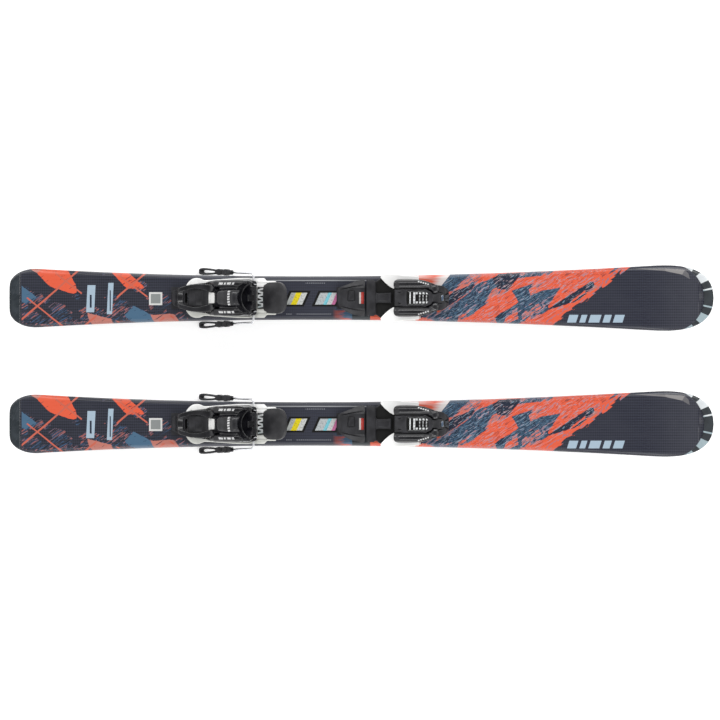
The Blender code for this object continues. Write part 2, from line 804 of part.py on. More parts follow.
def mirrored_profile(half):
    return [*half, *[(-u, v) for u, v in reversed(half)]]


# ---------------------------------------------------------------- putting the pair together


def pieces():
    """Each piece's name, maker, material and origin, the origin as a point on its joint's axis."""
    jaw = (JAW_AXIS[0], 0, JAW_AXIS[1])
    brake = (BRAKE_AXIS[0], 0, BRAKE_AXIS[1])
    heel_latch_axis = (HEEL_LATCH_AXIS[0], 0, HEEL_LATCH_AXIS[1])
    toe_latch_axis = (TOE_LATCH_AXIS[0], 0, TOE_LATCH_AXIS[1])
    heel_screw_axis = (-266, 0, HEEL_SPRING_Z)
    toe_screw_axis = (131, 0, TOE_SPRING_Z)
    deck = (0, 0, DECK_Z)
    return [
        ("core", core, "wood_core", deck),
        ("topsheet", topsheet, "topsheet_print", deck),
        ("running_base", running_base, "base_black", deck),
        ("steel_edge", steel_edge, "edge_steel", deck),
        ("tip_protector", tip_protector, "tip_print", deck),
        ("tail_protector", tail_protector, "black_gloss", deck),
        ("heel_track", lambda: track(HEEL_TRACK), "black_plastic", deck),
        ("toe_track", lambda: track(TOE_TRACK), "black_plastic", deck),
        ("heel_chassis", heel_chassis, "white_plastic", jaw),
        ("heel_housing", heel_housing, "black_plastic", jaw),
        ("heel_scale", heel_scale, "white_plastic", jaw),
        ("heel_pin", heel_pin, "steel", jaw),
        (
            "heel_spring",
            lambda: coil(6.4, 1.3, -260.5, -226.5, HEEL_SPRING_Z, 5),
            "spring_steel",
            jaw,
        ),
        ("heel_jaw", heel_jaw, "black_gloss", jaw),
        ("heel_lever", heel_lever, "black_plastic", jaw),
        ("heel_latch", heel_latch, "black_plastic", heel_latch_axis),
        (
            "heel_adjusting_screw",
            lambda: adjusting_screw(7.8, 3.2, (-269, -263), (-262, -244), HEEL_SPRING_Z),
            "steel",
            heel_screw_axis,
        ),
        ("brake_bracket", brake_bracket, "black_plastic", brake),
        ("brake_wire", brake_wire, "spring_steel", brake),
        ("brake_pedal", brake_pedal, "pad_black", brake),
        ("brake_paddle_left", lambda: brake_paddle(1), "black_plastic", brake),
        ("brake_paddle_right", lambda: brake_paddle(-1), "black_plastic", brake),
        ("toe_housing", toe_housing, "black_plastic", deck),
        ("toe_base", toe_base, "white_plastic", deck),
        (
            "toe_spring",
            lambda: coil(5.0, 1.2, 81.5, 115, TOE_SPRING_Z, 5),
            "spring_steel",
            deck,
        ),
        ("toe_wing_left", lambda: toe_wing(1), "black_gloss", (WING_AXIS[0], WING_AXIS[1], 58)),
        ("toe_wing_right", lambda: toe_wing(-1), "black_gloss", (WING_AXIS[0], -WING_AXIS[1], 58)),
        ("afd_plate", afd_plate, "black_plastic", deck),
        ("toe_latch", toe_latch, "black_plastic", toe_latch_axis),
        (
            "toe_adjusting_screw",
            lambda: adjusting_screw(6.6, 2.6, (130, 135), (118, 129), TOE_SPRING_Z),
            "steel",
            toe_screw_axis,
        ),
    ]


def materials():
    return {
        "wood_core": material("wood_core", (0.62, 0.45, 0.28), 0.6),
        "topsheet_print": material("topsheet_print", (0.05, 0.055, 0.075), 0.4),
        "tip_print": material("tip_print", (0.45, 0.55, 0.60), 0.4),
        "base_black": material("base_black", (0.02, 0.02, 0.022), 0.45),
        "edge_steel": material("edge_steel", (0.55, 0.55, 0.56), 0.3, 1.0),
        "black_plastic": material("black_plastic", (0.03, 0.03, 0.032), 0.5),
        "black_gloss": material("black_gloss", (0.02, 0.02, 0.022), 0.3),
        "pad_black": material("pad_black", (0.035, 0.035, 0.036), 0.7),
        "white_plastic": material("white_plastic", (0.82, 0.82, 0.80), 0.4),
        "steel": material("steel", (0.6, 0.6, 0.62), 0.25, 1.0),
        "spring_steel": material("spring_steel", (0.65, 0.65, 0.66), 0.2, 1.0),
    }


def main():
    clear_scene()
    pair = collection_named("alpine_skis")
    finishes = materials()
    places = [
        Vector((0, sign * SKI_SPACING / 2, LIFT)) * MM for sign in (1, -1)
    ]
    for name, maker, finish, origin in pieces():
        piece = maker()
        mesh = piece.data
        origin = Vector(origin) * MM
        mesh.transform(Matrix.Translation(-origin))
        mesh.materials.clear()
        mesh.materials.append(finishes[finish])
        bpy.data.objects.remove(piece)
        for ski, place in zip(SKI_NAMES, places):
            obj = bpy.data.objects.new(f"{ski}_{name}", mesh)
            obj.location = place + origin
            pair.objects.link(obj)


main()
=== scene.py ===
"""How a pair of junior alpine skis with sliding bindings looks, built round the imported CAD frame.

Lengths are in millimetres, turned into Blender's metres by MM. Each piece is shaped once, on the
centre line of one ski with Z measured from the running base, and one object for each ski then
rides on that ski's CAD body.
"""

import json
import math

import bmesh
import bpy
from mathutils import Matrix, Vector

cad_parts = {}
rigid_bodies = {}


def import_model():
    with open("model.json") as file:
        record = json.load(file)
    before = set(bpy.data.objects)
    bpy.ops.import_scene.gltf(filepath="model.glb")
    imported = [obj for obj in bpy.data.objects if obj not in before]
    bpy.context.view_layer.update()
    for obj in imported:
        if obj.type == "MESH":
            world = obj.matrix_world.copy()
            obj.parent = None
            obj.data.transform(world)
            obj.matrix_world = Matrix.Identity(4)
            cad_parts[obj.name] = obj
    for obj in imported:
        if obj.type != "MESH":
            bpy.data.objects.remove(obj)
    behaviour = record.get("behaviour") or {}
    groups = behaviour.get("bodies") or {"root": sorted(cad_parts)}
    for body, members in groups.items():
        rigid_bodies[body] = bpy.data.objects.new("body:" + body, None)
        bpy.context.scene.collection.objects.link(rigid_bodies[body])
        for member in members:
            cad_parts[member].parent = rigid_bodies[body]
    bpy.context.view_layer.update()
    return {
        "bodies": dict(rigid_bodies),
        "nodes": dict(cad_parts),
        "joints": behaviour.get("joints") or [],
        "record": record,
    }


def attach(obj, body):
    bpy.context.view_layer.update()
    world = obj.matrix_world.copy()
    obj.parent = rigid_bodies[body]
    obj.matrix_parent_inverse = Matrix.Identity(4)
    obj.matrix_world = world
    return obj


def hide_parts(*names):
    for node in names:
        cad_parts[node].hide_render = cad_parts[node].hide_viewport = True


MM = 0.001
SKIS = {"a": 97.5, "b": -97.5}  # each ski's centre line
LIFT = 42.1  # height of the running base above the floor

# Plan and side shape of a ski, as in the CAD model
TAIL_X, TIP_X = -545.0, 545.0
WAIST_X, WAIST_HALF = -64.0, 33.7
TAIL_GAIN, TAIL_REACH = 11.6, 436.0
TIP_GAIN, TIP_REACH = 17.4, 530.0
TAIL_CORNER_LENGTH, TAIL_CORNER_DEPTH = 45.0, 30.0
TIP_ROUND_X, TIP_ROUND_POWERS = 440.0, (2.9, 0.44)
CAMBER, CAMBER_X = 4.0, -57.0
TAIL_CONTACT_X, TIP_CONTACT_X = -480.0, 400.0
TIP_RISE, TAIL_RISE = 45.0, 6.0
DECK_Z, DECK_BACK_X, DECK_FRONT_X = 19.0, -300.0, 150.0
END_THICKNESS = 7.0
GRID_ROW, GRID_COLUMN = 4.2, 3.4  # pitch of the fine grid in the film
EDGE_HEIGHT = 2.3
SKIN = 0.8
TAIL_CAP_X = -529.0
TIP_ARC_X, TIP_ARC_RADIUS = 477.4, 53.0

# Joint axes, as (x, z)
JAW_AXIS = (-215.0, 42.0)
BRAKE_AXIS = (-166.6, 31.4)
JAW_OPEN_DEG = 25.0
BRAKE_OPEN_DEG = 40.0
ARM_ROOT_Y, ARM_TIP_Y, ARM_LENGTH = 38.2, 41.8, 109.0

# The jaw's top when shut, along the ski: (x, z)
JAW_CROWN = ((-230, 60), (-220, 65), (-207, 70.8), (-196, 72.8), (-184, 73.2), (-176, 71.5), (-166, 67))
JAW_SHOULDER = ((-240, 56), (-229, 60.4), (-217, 65), (-201, 67.4), (-184, 67.2), (-173, 64.5), (-164, 58))


# ---------------------------------------------------------------- shapes


def object_from(bm, smooth=True):
    bmesh.ops.recalc_face_normals(bm, faces=bm.faces)
    mesh = bpy.data.meshes.new("shape")
    bm.to_mesh(mesh)
    bm.free()
    for face in mesh.polygons:
        face.use_smooth = smooth
    obj = bpy.data.objects.new("shape", mesh)
    bpy.context.scene.collection.objects.link(obj)
    return obj


def baked(obj, weld=0.002):
    """The object with its modifiers applied, in world space. The old object goes."""
    bpy.context.view_layer.update()
    graph = bpy.context.evaluated_depsgraph_get()
    mesh = bpy.data.meshes.new_from_object(obj.evaluated_get(graph))
    mesh.transform(obj.matrix_world)
    bm = bmesh.new()
    bm.from_mesh(mesh)
    bmesh.ops.remove_doubles(bm, verts=bm.verts, dist=weld * MM)
    bpy.data.objects.remove(obj)
    return object_from(bm)


def boolean(obj, tools, operation):
    for tool in tools:
        modifier = obj.modifiers.new(operation, "BOOLEAN")
        modifier.operation = operation
        modifier.object = tool
    result = baked(obj)
    for tool in tools:
        bpy.data.objects.remove(tool)
    return result


def cut(obj, *tools):
    return boolean(obj, tools, "DIFFERENCE")


def join(obj, *tools):
    return boolean(obj, tools, "UNION")


def common(obj, *tools):
    return boolean(obj, tools, "INTERSECT")


def moulded(obj, voxel=0.7, smoothing=6, keep=0.35):
    """Turns hard-edged solids into one moulded shape with soft edges and fillets."""
    remesh = obj.modifiers.new("remesh", "REMESH")
    remesh.mode = "VOXEL"
    remesh.voxel_size = voxel * MM
    smooth = obj.modifiers.new("smooth", "SMOOTH")
    smooth.factor = 0.5
    smooth.iterations = smoothing
    if keep < 1:
        fewer = obj.modifiers.new("fewer", "DECIMATE")
        fewer.ratio = keep
    return baked(obj)


def bevelled(obj, width, segments=3, angle=35):
    bevel = obj.modifiers.new("bevel", "BEVEL")
    bevel.width = width * MM
    bevel.segments = segments
    bevel.limit_method = "ANGLE"
    bevel.angle_limit = math.radians(angle)
    bevel.harden_normals = True
    return baked(obj, weld=0.0001)


def moved(obj, x=0.0, y=0.0, z=0.0):
    obj.data.transform(Matrix.Translation(Vector((x, y, z)) * MM))
    return obj


def turned_about(obj, axis, degrees):
    """Turns the object about the line along Y through axis = (x, z)."""
    pivot = Matrix.Translation(Vector((axis[0], 0, axis[1])) * MM)
    turn = Matrix.Rotation(math.radians(degrees), 4, "Y")
    obj.data.transform(pivot @ turn @ pivot.inverted())
    return obj


def flipped(obj):
    """The same shape mirrored across the ski's centre line."""
    obj.data.transform(Matrix.Scale(-1, 4, (0, 1, 0)))
    obj.data.flip_normals()
    return obj


def copied(obj):
    made = bpy.data.objects.new("shape", obj.data.copy())
    bpy.context.scene.collection.objects.link(made)
    return made


def box(x, y, z):
    bm = bmesh.new()
    bmesh.ops.create_cube(bm, size=1.0)
    size = Vector((x[1] - x[0], y[1] - y[0], z[1] - z[0])) * MM
    middle = Vector((x[0] + x[1], y[0] + y[1], z[0] + z[1])) * MM / 2
    bmesh.ops.scale(bm, vec=size, verts=bm.verts)
    bmesh.ops.translate(bm, vec=middle, verts=bm.verts)
    return object_from(bm, smooth=False)


def cylinder(radius, start, end, sides=40, end_radius=None):
    start, end = Vector(start) * MM, Vector(end) * MM
    along = end - start
    place = Matrix.Translation((start + end) / 2) @ along.to_track_quat("Z", "Y").to_matrix().to_4x4()
    bm = bmesh.new()
    bmesh.ops.create_cone(
        bm,
        cap_ends=True,
        segments=sides,
        radius1=radius * MM,
        radius2=(radius if end_radius is None else end_radius) * MM,
        depth=along.length,
        matrix=place,
    )
    return object_from(bm, smooth=False)


PLANES = {
    "XY": Matrix.Identity(4),
    "XZ": Matrix.Rotation(math.pi / 2, 4, "X"),
    "YZ": Matrix(((0, 0, 1, 0), (1, 0, 0, 0), (0, 1, 0, 0), (0, 0, 0, 1))),
}


def slab(outline, low, high, plane="XY"):
    """A flat outline made into a solid between two heights above its plane."""
    curve = bpy.data.curves.new("outline", "CURVE")
    curve.dimensions = "2D"
    curve.fill_mode = "BOTH"
    curve.extrude = (high - low) / 2 * MM
    spline = curve.splines.new("POLY")
    spline.points.add(len(outline) - 1)
    for point, (u, v) in zip(spline.points, outline):
        point.co = (u * MM, v * MM, 0.0, 1.0)
    spline.use_cyclic_u = True
    obj = bpy.data.objects.new("shape", curve)
    bpy.context.scene.collection.objects.link(obj)
    middle = (low + high) / 2 * MM
    obj.matrix_world = PLANES[plane] @ Matrix.Translation((0, 0, -middle if plane == "XZ" else middle))
    return baked(obj)


def arc(centre, radius, start, end, steps):
    angles = [math.radians(start + (end - start) * i / steps) for i in range(steps + 1)]
    return [(centre[0] + radius * math.cos(a), centre[1] + radius * math.sin(a)) for a in angles]


def curved(points, closed=True, steps=5):
    """A smooth curve through the points."""
    points = [Vector(p) for p in points]
    count = len(points)
    made = []
    for i in range(count if closed else count - 1):
        a, b = points[i - 1], points[i]
        c, d = points[(i + 1) % count], points[(i + 2) % count]
        if not closed:
            a = points[max(i - 1, 0)]
            d = points[min(i + 2, count - 1)]
        for step in range(steps):
            t = step / steps
            made.append(
                0.5
                * (
                    (2 * b)
                    + (c - a) * t
                    + (2 * a - 5 * b + 4 * c - d) * t**2
                    + (3 * b - a - 3 * c + d) * t**3
                )
            )
    if not closed:
        made.append(points[-1])
    return [tuple(p) for p in made]


def mirrored(half):
    """A whole outline from its +Y half, listed from one end of the X axis to the other."""
    return [*half, *[(u, -v) for u, v in reversed(half) if abs(v) > 1e-6]]


def rounded(half, steps=3):
    """A whole outline from its +Y half, drawn as a smooth curve."""
    return curved(mirrored(half), steps=steps)


def loft(rings):
    """A solid through closed rings of points, with the first and last ring capped."""
    bm = bmesh.new()
    rows = [[bm.verts.new(Vector(p) * MM) for p in ring] for ring in rings]
    for back, front in zip(rows, rows[1:]):
        for i in range(len(back)):
            j = (i + 1) % len(back)
            bm.faces.new((back[i], back[j], front[j], front[i]))
    bm.faces.new(rows[0])
    bm.faces.new(rows[-1])
    return object_from(bm)


def tube(points, radius, resolution=5):
    curve = bpy.data.curves.new("wire", "CURVE")
    curve.dimensions = "3D"
    curve.bevel_depth = radius * MM
    curve.bevel_resolution = resolution
    curve.use_fill_caps = True
    spline = curve.splines.new("POLY")
    spline.points.add(len(points) - 1)
    for point, place in zip(spline.points, points):
        point.co = (*(Vector(place) * MM), 1.0)
    obj = bpy.data.objects.new("shape", curve)
    bpy.context.scene.collection.objects.link(obj)
    return baked(obj)


def filleted(route, radius, steps=8):
    """An open route with its corners rounded like bent wire."""
    points = [Vector(p) for p in route]
    made = [points[0]]
    for before, corner, after in zip(points, points[1:], points[2:]):
        first = corner + (before - corner).normalized() * radius
        last = corner + (after - corner).normalized() * radius
        for step in range(steps + 1):
            t = step / steps
            made.append(first * (1 - t) ** 2 + corner * 2 * t * (1 - t) + last * t**2)
    return [*made, points[-1]]


def relief(x_range, y_range, floor, height, step=1.0):
    """A block whose top follows height(x, y)."""
    xs, ys = along(*x_range, step), along(*y_range, step)
    bm = bmesh.new()
    top = [[bm.verts.new(Vector((x, y, height(x, y))) * MM) for y in ys] for x in xs]
    low = [[bm.verts.new(Vector((x, y, floor)) * MM) for y in ys] for x in xs]
    for grid in (top, low):
        for i in range(len(xs) - 1):
            for j in range(len(ys) - 1):
                bm.faces.new((grid[i][j], grid[i + 1][j], grid[i + 1][j + 1], grid[i][j + 1]))
    count, last = len(xs), len(ys) - 1
    rim = [(i, 0) for i in range(count - 1)] + [(count - 1, j) for j in range(last)]
    rim += [(i, last) for i in range(count - 1, 0, -1)] + [(0, j) for j in range(last, 0, -1)]
    for (i, j), (k, m) in zip(rim, rim[1:] + rim[:1]):
        bm.faces.new((top[i][j], top[k][m], low[k][m], low[i][j]))
    return object_from(bm, smooth=False)


def level(points, x):
    """The height at x on a line through the points, eased at each of them."""
    for (x0, z0), (x1, z1) in zip(points, points[1:]):
        if x < x1:
            return z0 + (z1 - z0) * smooth_step((x - x0) / (x1 - x0))
    return points[-1][1]


def both_sides(shape):
    return join(copied(shape), flipped(shape))


# ---------------------------------------------------------------- materials


def srgb(red, green, blue):
    """A colour given as 0 to 255 on a screen, as Blender's linear values."""
    shares = (red / 255, green / 255, blue / 255)
    return (*[c / 12.92 if c <= 0.04045 else ((c + 0.055) / 1.055) ** 2.4 for c in shares], 1.0)


def ink(red, green, blue):
    """The paint that looks like this screen colour in the studio's light."""
    return tuple(max(c - 0.018, 0.0012) * 0.66 for c in srgb(red, green, blue)[:3]) + (1.0,)


class Graph:
    """A material whose nodes are written as expressions."""

    def __init__(self, name, roughness=0.4, metallic=0.0, coat=0.0, specular=0.25):
        self.material = bpy.data.materials.new(name)
        self.material.use_nodes = True
        self.tree = self.material.node_tree
        self.shader = self.tree.nodes["Principled BSDF"]
        self.set("Roughness", roughness)
        self.set("Metallic", metallic)
        self.set("Coat Weight", coat)
        self.set("Coat Roughness", 0.12)
        self.set("Specular IOR Level", specular)
        place = self.node("TexCoord").outputs["Object"]
        # In millimetres from the ski's own zero
        self.place = self.vector_math("MULTIPLY", place, (1000, 1000, 1000))
        split = self.node("SeparateXYZ", {0: self.place})
        self.x, self.y, self.z = split.outputs

    def node(self, kind, inputs=None, **settings):
        made = self.tree.nodes.new("ShaderNode" + kind)
        for key, value in settings.items():
            setattr(made, key, value)
        for key, value in (inputs or {}).items():
            self.plug(made.inputs[key], value)
        return made

    def plug(self, socket, value):
        if isinstance(value, bpy.types.NodeSocket):
            self.tree.links.new(value, socket)
        else:
            socket.default_value = value

    def set(self, name, value):
        self.plug(self.shader.inputs[name], value)

    def math(self, operation, a, b=0.0, c=0.0):
        return self.node("Math", {0: a, 1: b, 2: c}, operation=operation).outputs[0]

    def vector_math(self, operation, a, b):
        return self.node("VectorMath", {0: a, 1: b}, operation=operation).outputs["Vector"]

    def add(self, a, b):
        return self.math("ADD", a, b)

    def subtract(self, a, b):
        return self.math("SUBTRACT", a, b)

    def times(self, a, b):
        return self.math("MULTIPLY", a, b)

    def above(self, a, limit):
        return self.math("GREATER_THAN", a, limit)

    def below(self, a, limit):
        return self.math("LESS_THAN", a, limit)

    def both(self, *masks):
        result = masks[0]
        for mask in masks[1:]:
            result = self.times(result, mask)
        return result

    def between(self, a, low, high):
        return self.both(self.above(a, low), self.below(a, high))

    def vector(self, x, y, z=0.0):
        return self.node("CombineXYZ", {0: x, 1: y, 2: z}).outputs[0]

    def mapped(self, scale, turn=0.0, offset=(0, 0, 0), place=None):
        """The place turned about Z in degrees and then scaled."""
        turned = self.node(
            "Mapping",
            {"Vector": place or self.place, "Rotation": (0, 0, math.radians(turn)), "Location": offset},
        ).outputs[0]
        return self.vector_math("MULTIPLY", turned, scale)

    def noise(self, place, detail=2.0, roughness=0.5, dimensions="3D", color=False):
        made = self.node(
            "TexNoise",
            {"Vector": place, "Scale": 1.0, "Detail": detail, "Roughness": roughness},
            noise_dimensions=dimensions,
        )
        return made.outputs["Color" if color else "Fac"]

    def warped(self, place, amount, frequency, detail=2.0):
        """The place pushed about by noise, which makes edges ragged."""
        at = self.vector_math("MULTIPLY", place, (frequency,) * 3)
        push = self.noise(at, detail=detail, color=True)
        centred = self.vector_math("SUBTRACT", push, (0.5, 0.5, 0.5))
        scaled = self.vector_math("MULTIPLY", centred, (amount,) * 3)
        return self.vector_math("ADD", place, scaled)

    def cells(self, place, metric="EUCLIDEAN"):
        """One random number for each cell of a cracked pattern."""
        made = self.node(
            "TexVoronoi",
            {"Vector": place, "Scale": 1.0},
            voronoi_dimensions="2D",
            distance=metric,
        )
        return self.node("SeparateColor", {0: made.outputs["Color"]}).outputs[0]

    def ramp(self, value, stops, smooth=True):
        made = self.node("ValToRGB", {0: value})
        made.color_ramp.interpolation = "LINEAR" if smooth else "CONSTANT"
        elements = made.color_ramp.elements
        while len(elements) > 1:
            elements.remove(elements[-1])
        for i, (position, color) in enumerate(stops):
            element = elements[0] if i == 0 else elements.new(position)
            element.position = position
            element.color = color if hasattr(color, "__len__") else (color, color, color, 1.0)
        return made.outputs["Color"]

    def range(self, value, low, high, new_low=0.0, new_high=1.0):
        made = self.node("MapRange", {0: value, 1: low, 2: high, 3: new_low, 4: new_high})
        return made.outputs[0]

    def mix(self, share, a, b):
        made = self.node("Mix", data_type="RGBA")
        self.plug(made.inputs[0], share)
        self.plug(made.inputs[6], a)
        self.plug(made.inputs[7], b)
        return made.outputs[2]

    def bump(self, height, distance, strength=1.0):
        made = self.node("Bump", {"Height": height, "Distance": distance * MM, "Strength": strength})
        self.set("Normal", made.outputs[0])

    def dot(self, place, direction):
        return self.node("VectorMath", {0: place, 1: direction}, operation="DOT_PRODUCT").outputs["Value"]

    def polygon(self, corners, place):
        """Inside of a convex outline listed counterclockwise."""
        masks = []
        for (x0, y0), (x1, y1) in zip(corners, [*corners[1:], corners[0]]):
            side = self.dot(place, (y0 - y1, x1 - x0, 0))
            masks.append(self.above(side, (x1 - x0) * y0 - (y1 - y0) * x0))
        return self.both(*masks)

    def panel(self, x, y, slant=0.0):
        """Inside of an upright box, or of one whose sides lean by slant millimetres per millimetre."""
        leaning = self.subtract(self.x, self.times(self.y, slant))
        return self.both(self.between(leaning, *x), self.between(self.y, *y))


NAVY = ink(50, 56, 70)
DEEP = ink(62, 78, 98)
SLATE = ink(82, 112, 138)
CORAL = ink(232, 102, 75)
DULL_CORAL = ink(206, 108, 90)
ROSE = ink(196, 126, 114)
MAUVE = ink(150, 124, 140)
ICE = ink(172, 192, 208)
PALE = ink(240, 232, 230)
WHITE = ink(222, 222, 220)


def printed(g):
    """The topsheet's picture: plain ends and waist, with painted shards on the shovel and tail."""
    ground = topsheet_ground(g)
    bent = g.warped(g.place, 7.0, 0.035, detail=3)
    ragged = g.warped(g.place, 3.0, 0.16, detail=3)
    color = shovel_print(g, ground, bent, ragged)
    color = tail_print(g, color, ragged)
    return labels(g, waist_print(g, color))


def film_grid(g):
    """Two waves, across and along the ski, that make the film's fine regular grid."""
    rows = g.math("SINE", g.times(g.y, 2 * math.pi / GRID_ROW))
    return rows, g.math("SINE", g.times(g.x, 2 * math.pi / GRID_COLUMN))


def topsheet_ground(g):
    """Charcoal film with a fine regular grid in it, and a painted highlight on the +Y shoulder of the tip."""
    rows, columns = film_grid(g)
    grid = g.add(g.times(rows, 0.6), g.times(columns, 0.4))
    grain = g.noise(g.mapped((0.03, 0.09, 0.1)), detail=3)
    plain = g.mix(g.range(g.x, -330, -250), ink(44, 45, 50), ink(57, 58, 65))
    plain = g.mix(g.range(g.x, 180, 420), plain, ink(46, 47, 55))
    film = g.mix(g.range(grid, -1, 1), plain, ink(68, 70, 82))
    film = g.mix(g.range(grain, 0.4, 0.7, 0.0, 0.3), film, ink(68, 70, 79))
    # Painted highlight: three pale patches on the +Y shoulder of the tip stand for the lamps' reflection
    highlight_place = g.warped(g.place, 1.5, 0.06, detail=1)
    for corners, strength in (
        (((424, 45.6), (471, 42.0), (471, 45.6)), 0.7),
        (((471, 42.0), (497, 36.0), (501, 43.4), (471, 45.6)), 0.95),
        (((497, 36.0), (509, 29.0), (507, 37.5), (501, 43.4)), 0.4),
    ):
        film = g.mix(g.times(g.polygon(corners, highlight_place), strength), film, ink(150, 147, 147))
    return film


def shovel_print(g, ground, bent, ragged):
    """Random shards of coral, rose and slate behind a slanted front border."""
    facets = g.cells(g.mapped((1 / 34, 1 / 14, 1), turn=-40, place=bent))
    chips = g.cells(g.mapped((1 / 14, 1 / 5.5, 1), turn=-36, offset=(40, 9, 0), place=ragged))
    shards = g.cells(g.mapped((1 / 42, 1 / 17, 1), turn=-28, offset=(5, 3, 0), place=ragged))
    strokes = g.noise(g.mapped((1 / 26, 1 / 3.4, 1), turn=-38, place=bent), detail=4, roughness=0.6)
    hairs = g.noise(g.mapped((1 / 20, 1 / 1.2, 1), turn=-33, place=bent), detail=2)
    # How far behind the picture's front border a point is: a straight slant, broken by the chips
    border = g.add(g.add(345, g.times(g.y, 1.3)), g.times(chips, 14))
    behind = g.subtract(border, g.add(g.x, g.times(g.noise(g.mapped((0.16,) * 3), detail=3), 4)))

    warmth = g.add(g.times(facets, 0.42), g.times(chips, 0.16))
    warmth = g.add(warmth, g.range(strokes, 0.3, 0.7, 0.0, 0.36))
    warmth = g.add(warmth, g.range(hairs, 0.3, 0.7, -0.09, 0.11))
    warmth = g.add(warmth, g.range(behind, 0, 95, 0.12, 0.0))
    color = g.ramp(
        warmth,
        [(0, NAVY), (0.25, DEEP), (0.32, SLATE), (0.39, NAVY), (0.46, DEEP), (0.51, SLATE), (0.57, MAUVE),
            (0.62, ROSE), (0.68, CORAL)],
        smooth=False,
    )
    for low, high, paint in ((0.74, 1.0, CORAL), (0.64, 0.74, ROSE), (0.0, 0.14, NAVY)):
        streaked = g.mix(g.above(hairs, 0.60), paint, g.mix(g.above(strokes, 0.5), SLATE, ROSE))
        color = g.mix(g.between(shards, low, high), color, streaked)
    # Hair-thin light and dark strokes over everything but the border
    inner = g.above(g.add(behind, g.times(strokes, 60)), 46)
    color = g.mix(g.times(g.both(inner, g.above(hairs, 0.60)), 0.45), color, ink(168, 190, 208))
    color = g.mix(g.times(g.both(inner, g.below(hairs, 0.39)), 0.60), color, NAVY)
    color = g.mix(g.between(behind, 0, 13), color, g.mix(g.above(strokes, 0.56), CORAL, MAUVE))
    start = g.subtract(g.x, g.times(g.y, 0.8))
    picture = g.both(g.above(behind, 0), g.above(g.add(start, g.times(g.noise(g.mapped((0.08,) * 3)), 8)),
        108))
    picture = g.math("MAXIMUM", picture, g.both(g.between(g.x, 100, 125), g.below(g.y, -20)))
    color = g.mix(picture, ground, color)
    # The pale wedge beside the toe: plain at first, then streaked with coral
    streaks = g.noise(g.mapped((0.012, 0.40, 0.1)), detail=3)
    glow = g.add(start, g.times(streaks, 26))
    wedge = g.mix(g.range(glow, 100, 114), CORAL, PALE)
    wedge = g.mix(g.range(streaks, 0.5, 0.62, 0.0, 0.8), wedge, PALE)
    wedge = g.mix(g.below(g.x, 89), wedge, PALE)
    color = g.mix(g.both(g.between(g.x, 50, 145), g.above(g.y, 14), g.below(start, 109)), color, wedge)
    foot = g.mix(g.both(g.above(g.x, 84), g.above(streaks, 0.5)), PALE, CORAL)
    return g.mix(g.both(g.between(g.x, 50, 92), g.below(g.y, -24)), color, foot)


def tail_print(g, color, ragged):
    """Fine hatching, a few random shards and two families of long crossing strokes."""
    tail = g.both(g.below(g.add(g.x, g.times(g.y, 0.9)), -296), g.above(g.x, -526))
    bowed = g.warped(g.place, 3.0, 0.02, detail=1)
    hatch = g.noise(g.mapped((1 / 44, 1 / 1.9, 1), turn=-33, place=bowed), detail=2)
    broad = g.noise(g.mapped((1 / 50, 1 / 4.4, 1), turn=-36, offset=(7, 2, 0), place=bowed), detail=2)
    patches = g.noise(g.mapped((0.028, 0.05, 0.1), offset=(3, 8, 2)), detail=2)
    low = g.add(g.range(g.y, 20, -34, -0.10, 0.14), patches)
    hatched = g.both(tail, g.above(low, 0.53))
    for paint, mask in (
        (DEEP, g.above(hatch, 0.57)),
        (ink(72, 94, 124), g.above(hatch, 0.62)),
        (MAUVE, g.below(hatch, 0.41)),
        (ink(170, 100, 92), g.below(hatch, 0.37)),
        (ink(160, 98, 94), g.above(broad, 0.65)),
        (ink(46, 48, 56), g.below(broad, 0.38)),
    ):
        color = g.mix(g.both(hatched, mask), color, paint)
    shards = g.cells(g.mapped((1 / 46, 1 / 22, 1), turn=34, offset=(2, 6, 0), place=ragged))
    for low_end, high_end, paint in ((0.0, 0.13, CORAL), (0.13, 0.2, ROSE), (0.2, 0.28, SLATE)):
        streaked = g.mix(g.above(hatch, 0.66), paint, NAVY)
        color = g.mix(g.both(tail, g.between(shards, low_end, high_end)), color, streaked)
    for turn, spacing, seed in ((38, 58, 1), (-41, 71, 4)):
        across = g.node("SeparateXYZ", {0: g.mapped((1, 1, 1), turn=turn, place=bowed)}).outputs[1]
        share = g.math("ABSOLUTE", g.subtract(g.math("FRACT", g.times(across, 1 / spacing)), 0.5))
        broken = g.noise(g.mapped((0.024, 0.024, 0.1), offset=(seed, seed, 0)), detail=1)
        color = g.mix(g.both(tail, g.below(share, 0.02), g.above(broken, 0.47)), color, DULL_CORAL)
    return color


def waist_print(g, color):
    """A patch of colour on one edge, a painted highlight line along the other and two rows of fine dashes."""
    cloud = g.noise(g.mapped((0.03, 0.08, 0.1)), detail=3)
    patch = g.both(g.between(g.x, -44, 66), g.below(g.y, g.add(-14, g.times(g.x, -0.16))))
    paint = g.mix(g.range(cloud, 0.42, 0.55), SLATE, CORAL)
    paint = g.mix(g.both(g.between(g.x, -14, 14), g.below(g.y, -17)), paint, ink(62, 66, 70))
    color = g.mix(g.both(patch, g.range(g.x, -44, -20)), color, paint)
    # Painted highlight: a pale line along the +Y shoulder of the flat top, between heel and toe
    highlight_line = g.both(g.between(g.x, -150, 8), g.between(g.y, 26.3, 28.0))
    color = g.mix(highlight_line, color, ink(158, 160, 163))
    dash = g.both(g.below(g.math("FRACT", g.times(g.x, 0.31)), 0.62),
        g.above(g.noise(g.vector(g.times(g.x, 0.12), 0.0)), 0.42))
    rows = g.math(
        "MAXIMUM",
        g.both(g.between(g.x, -86, -56), g.between(g.y, 22.6, 23.6)),
        g.both(g.between(g.x, -116, -42), g.between(g.y, -25.4, -24.3)),
    )
    return g.mix(g.both(dash, rows), color, ink(150, 152, 158))


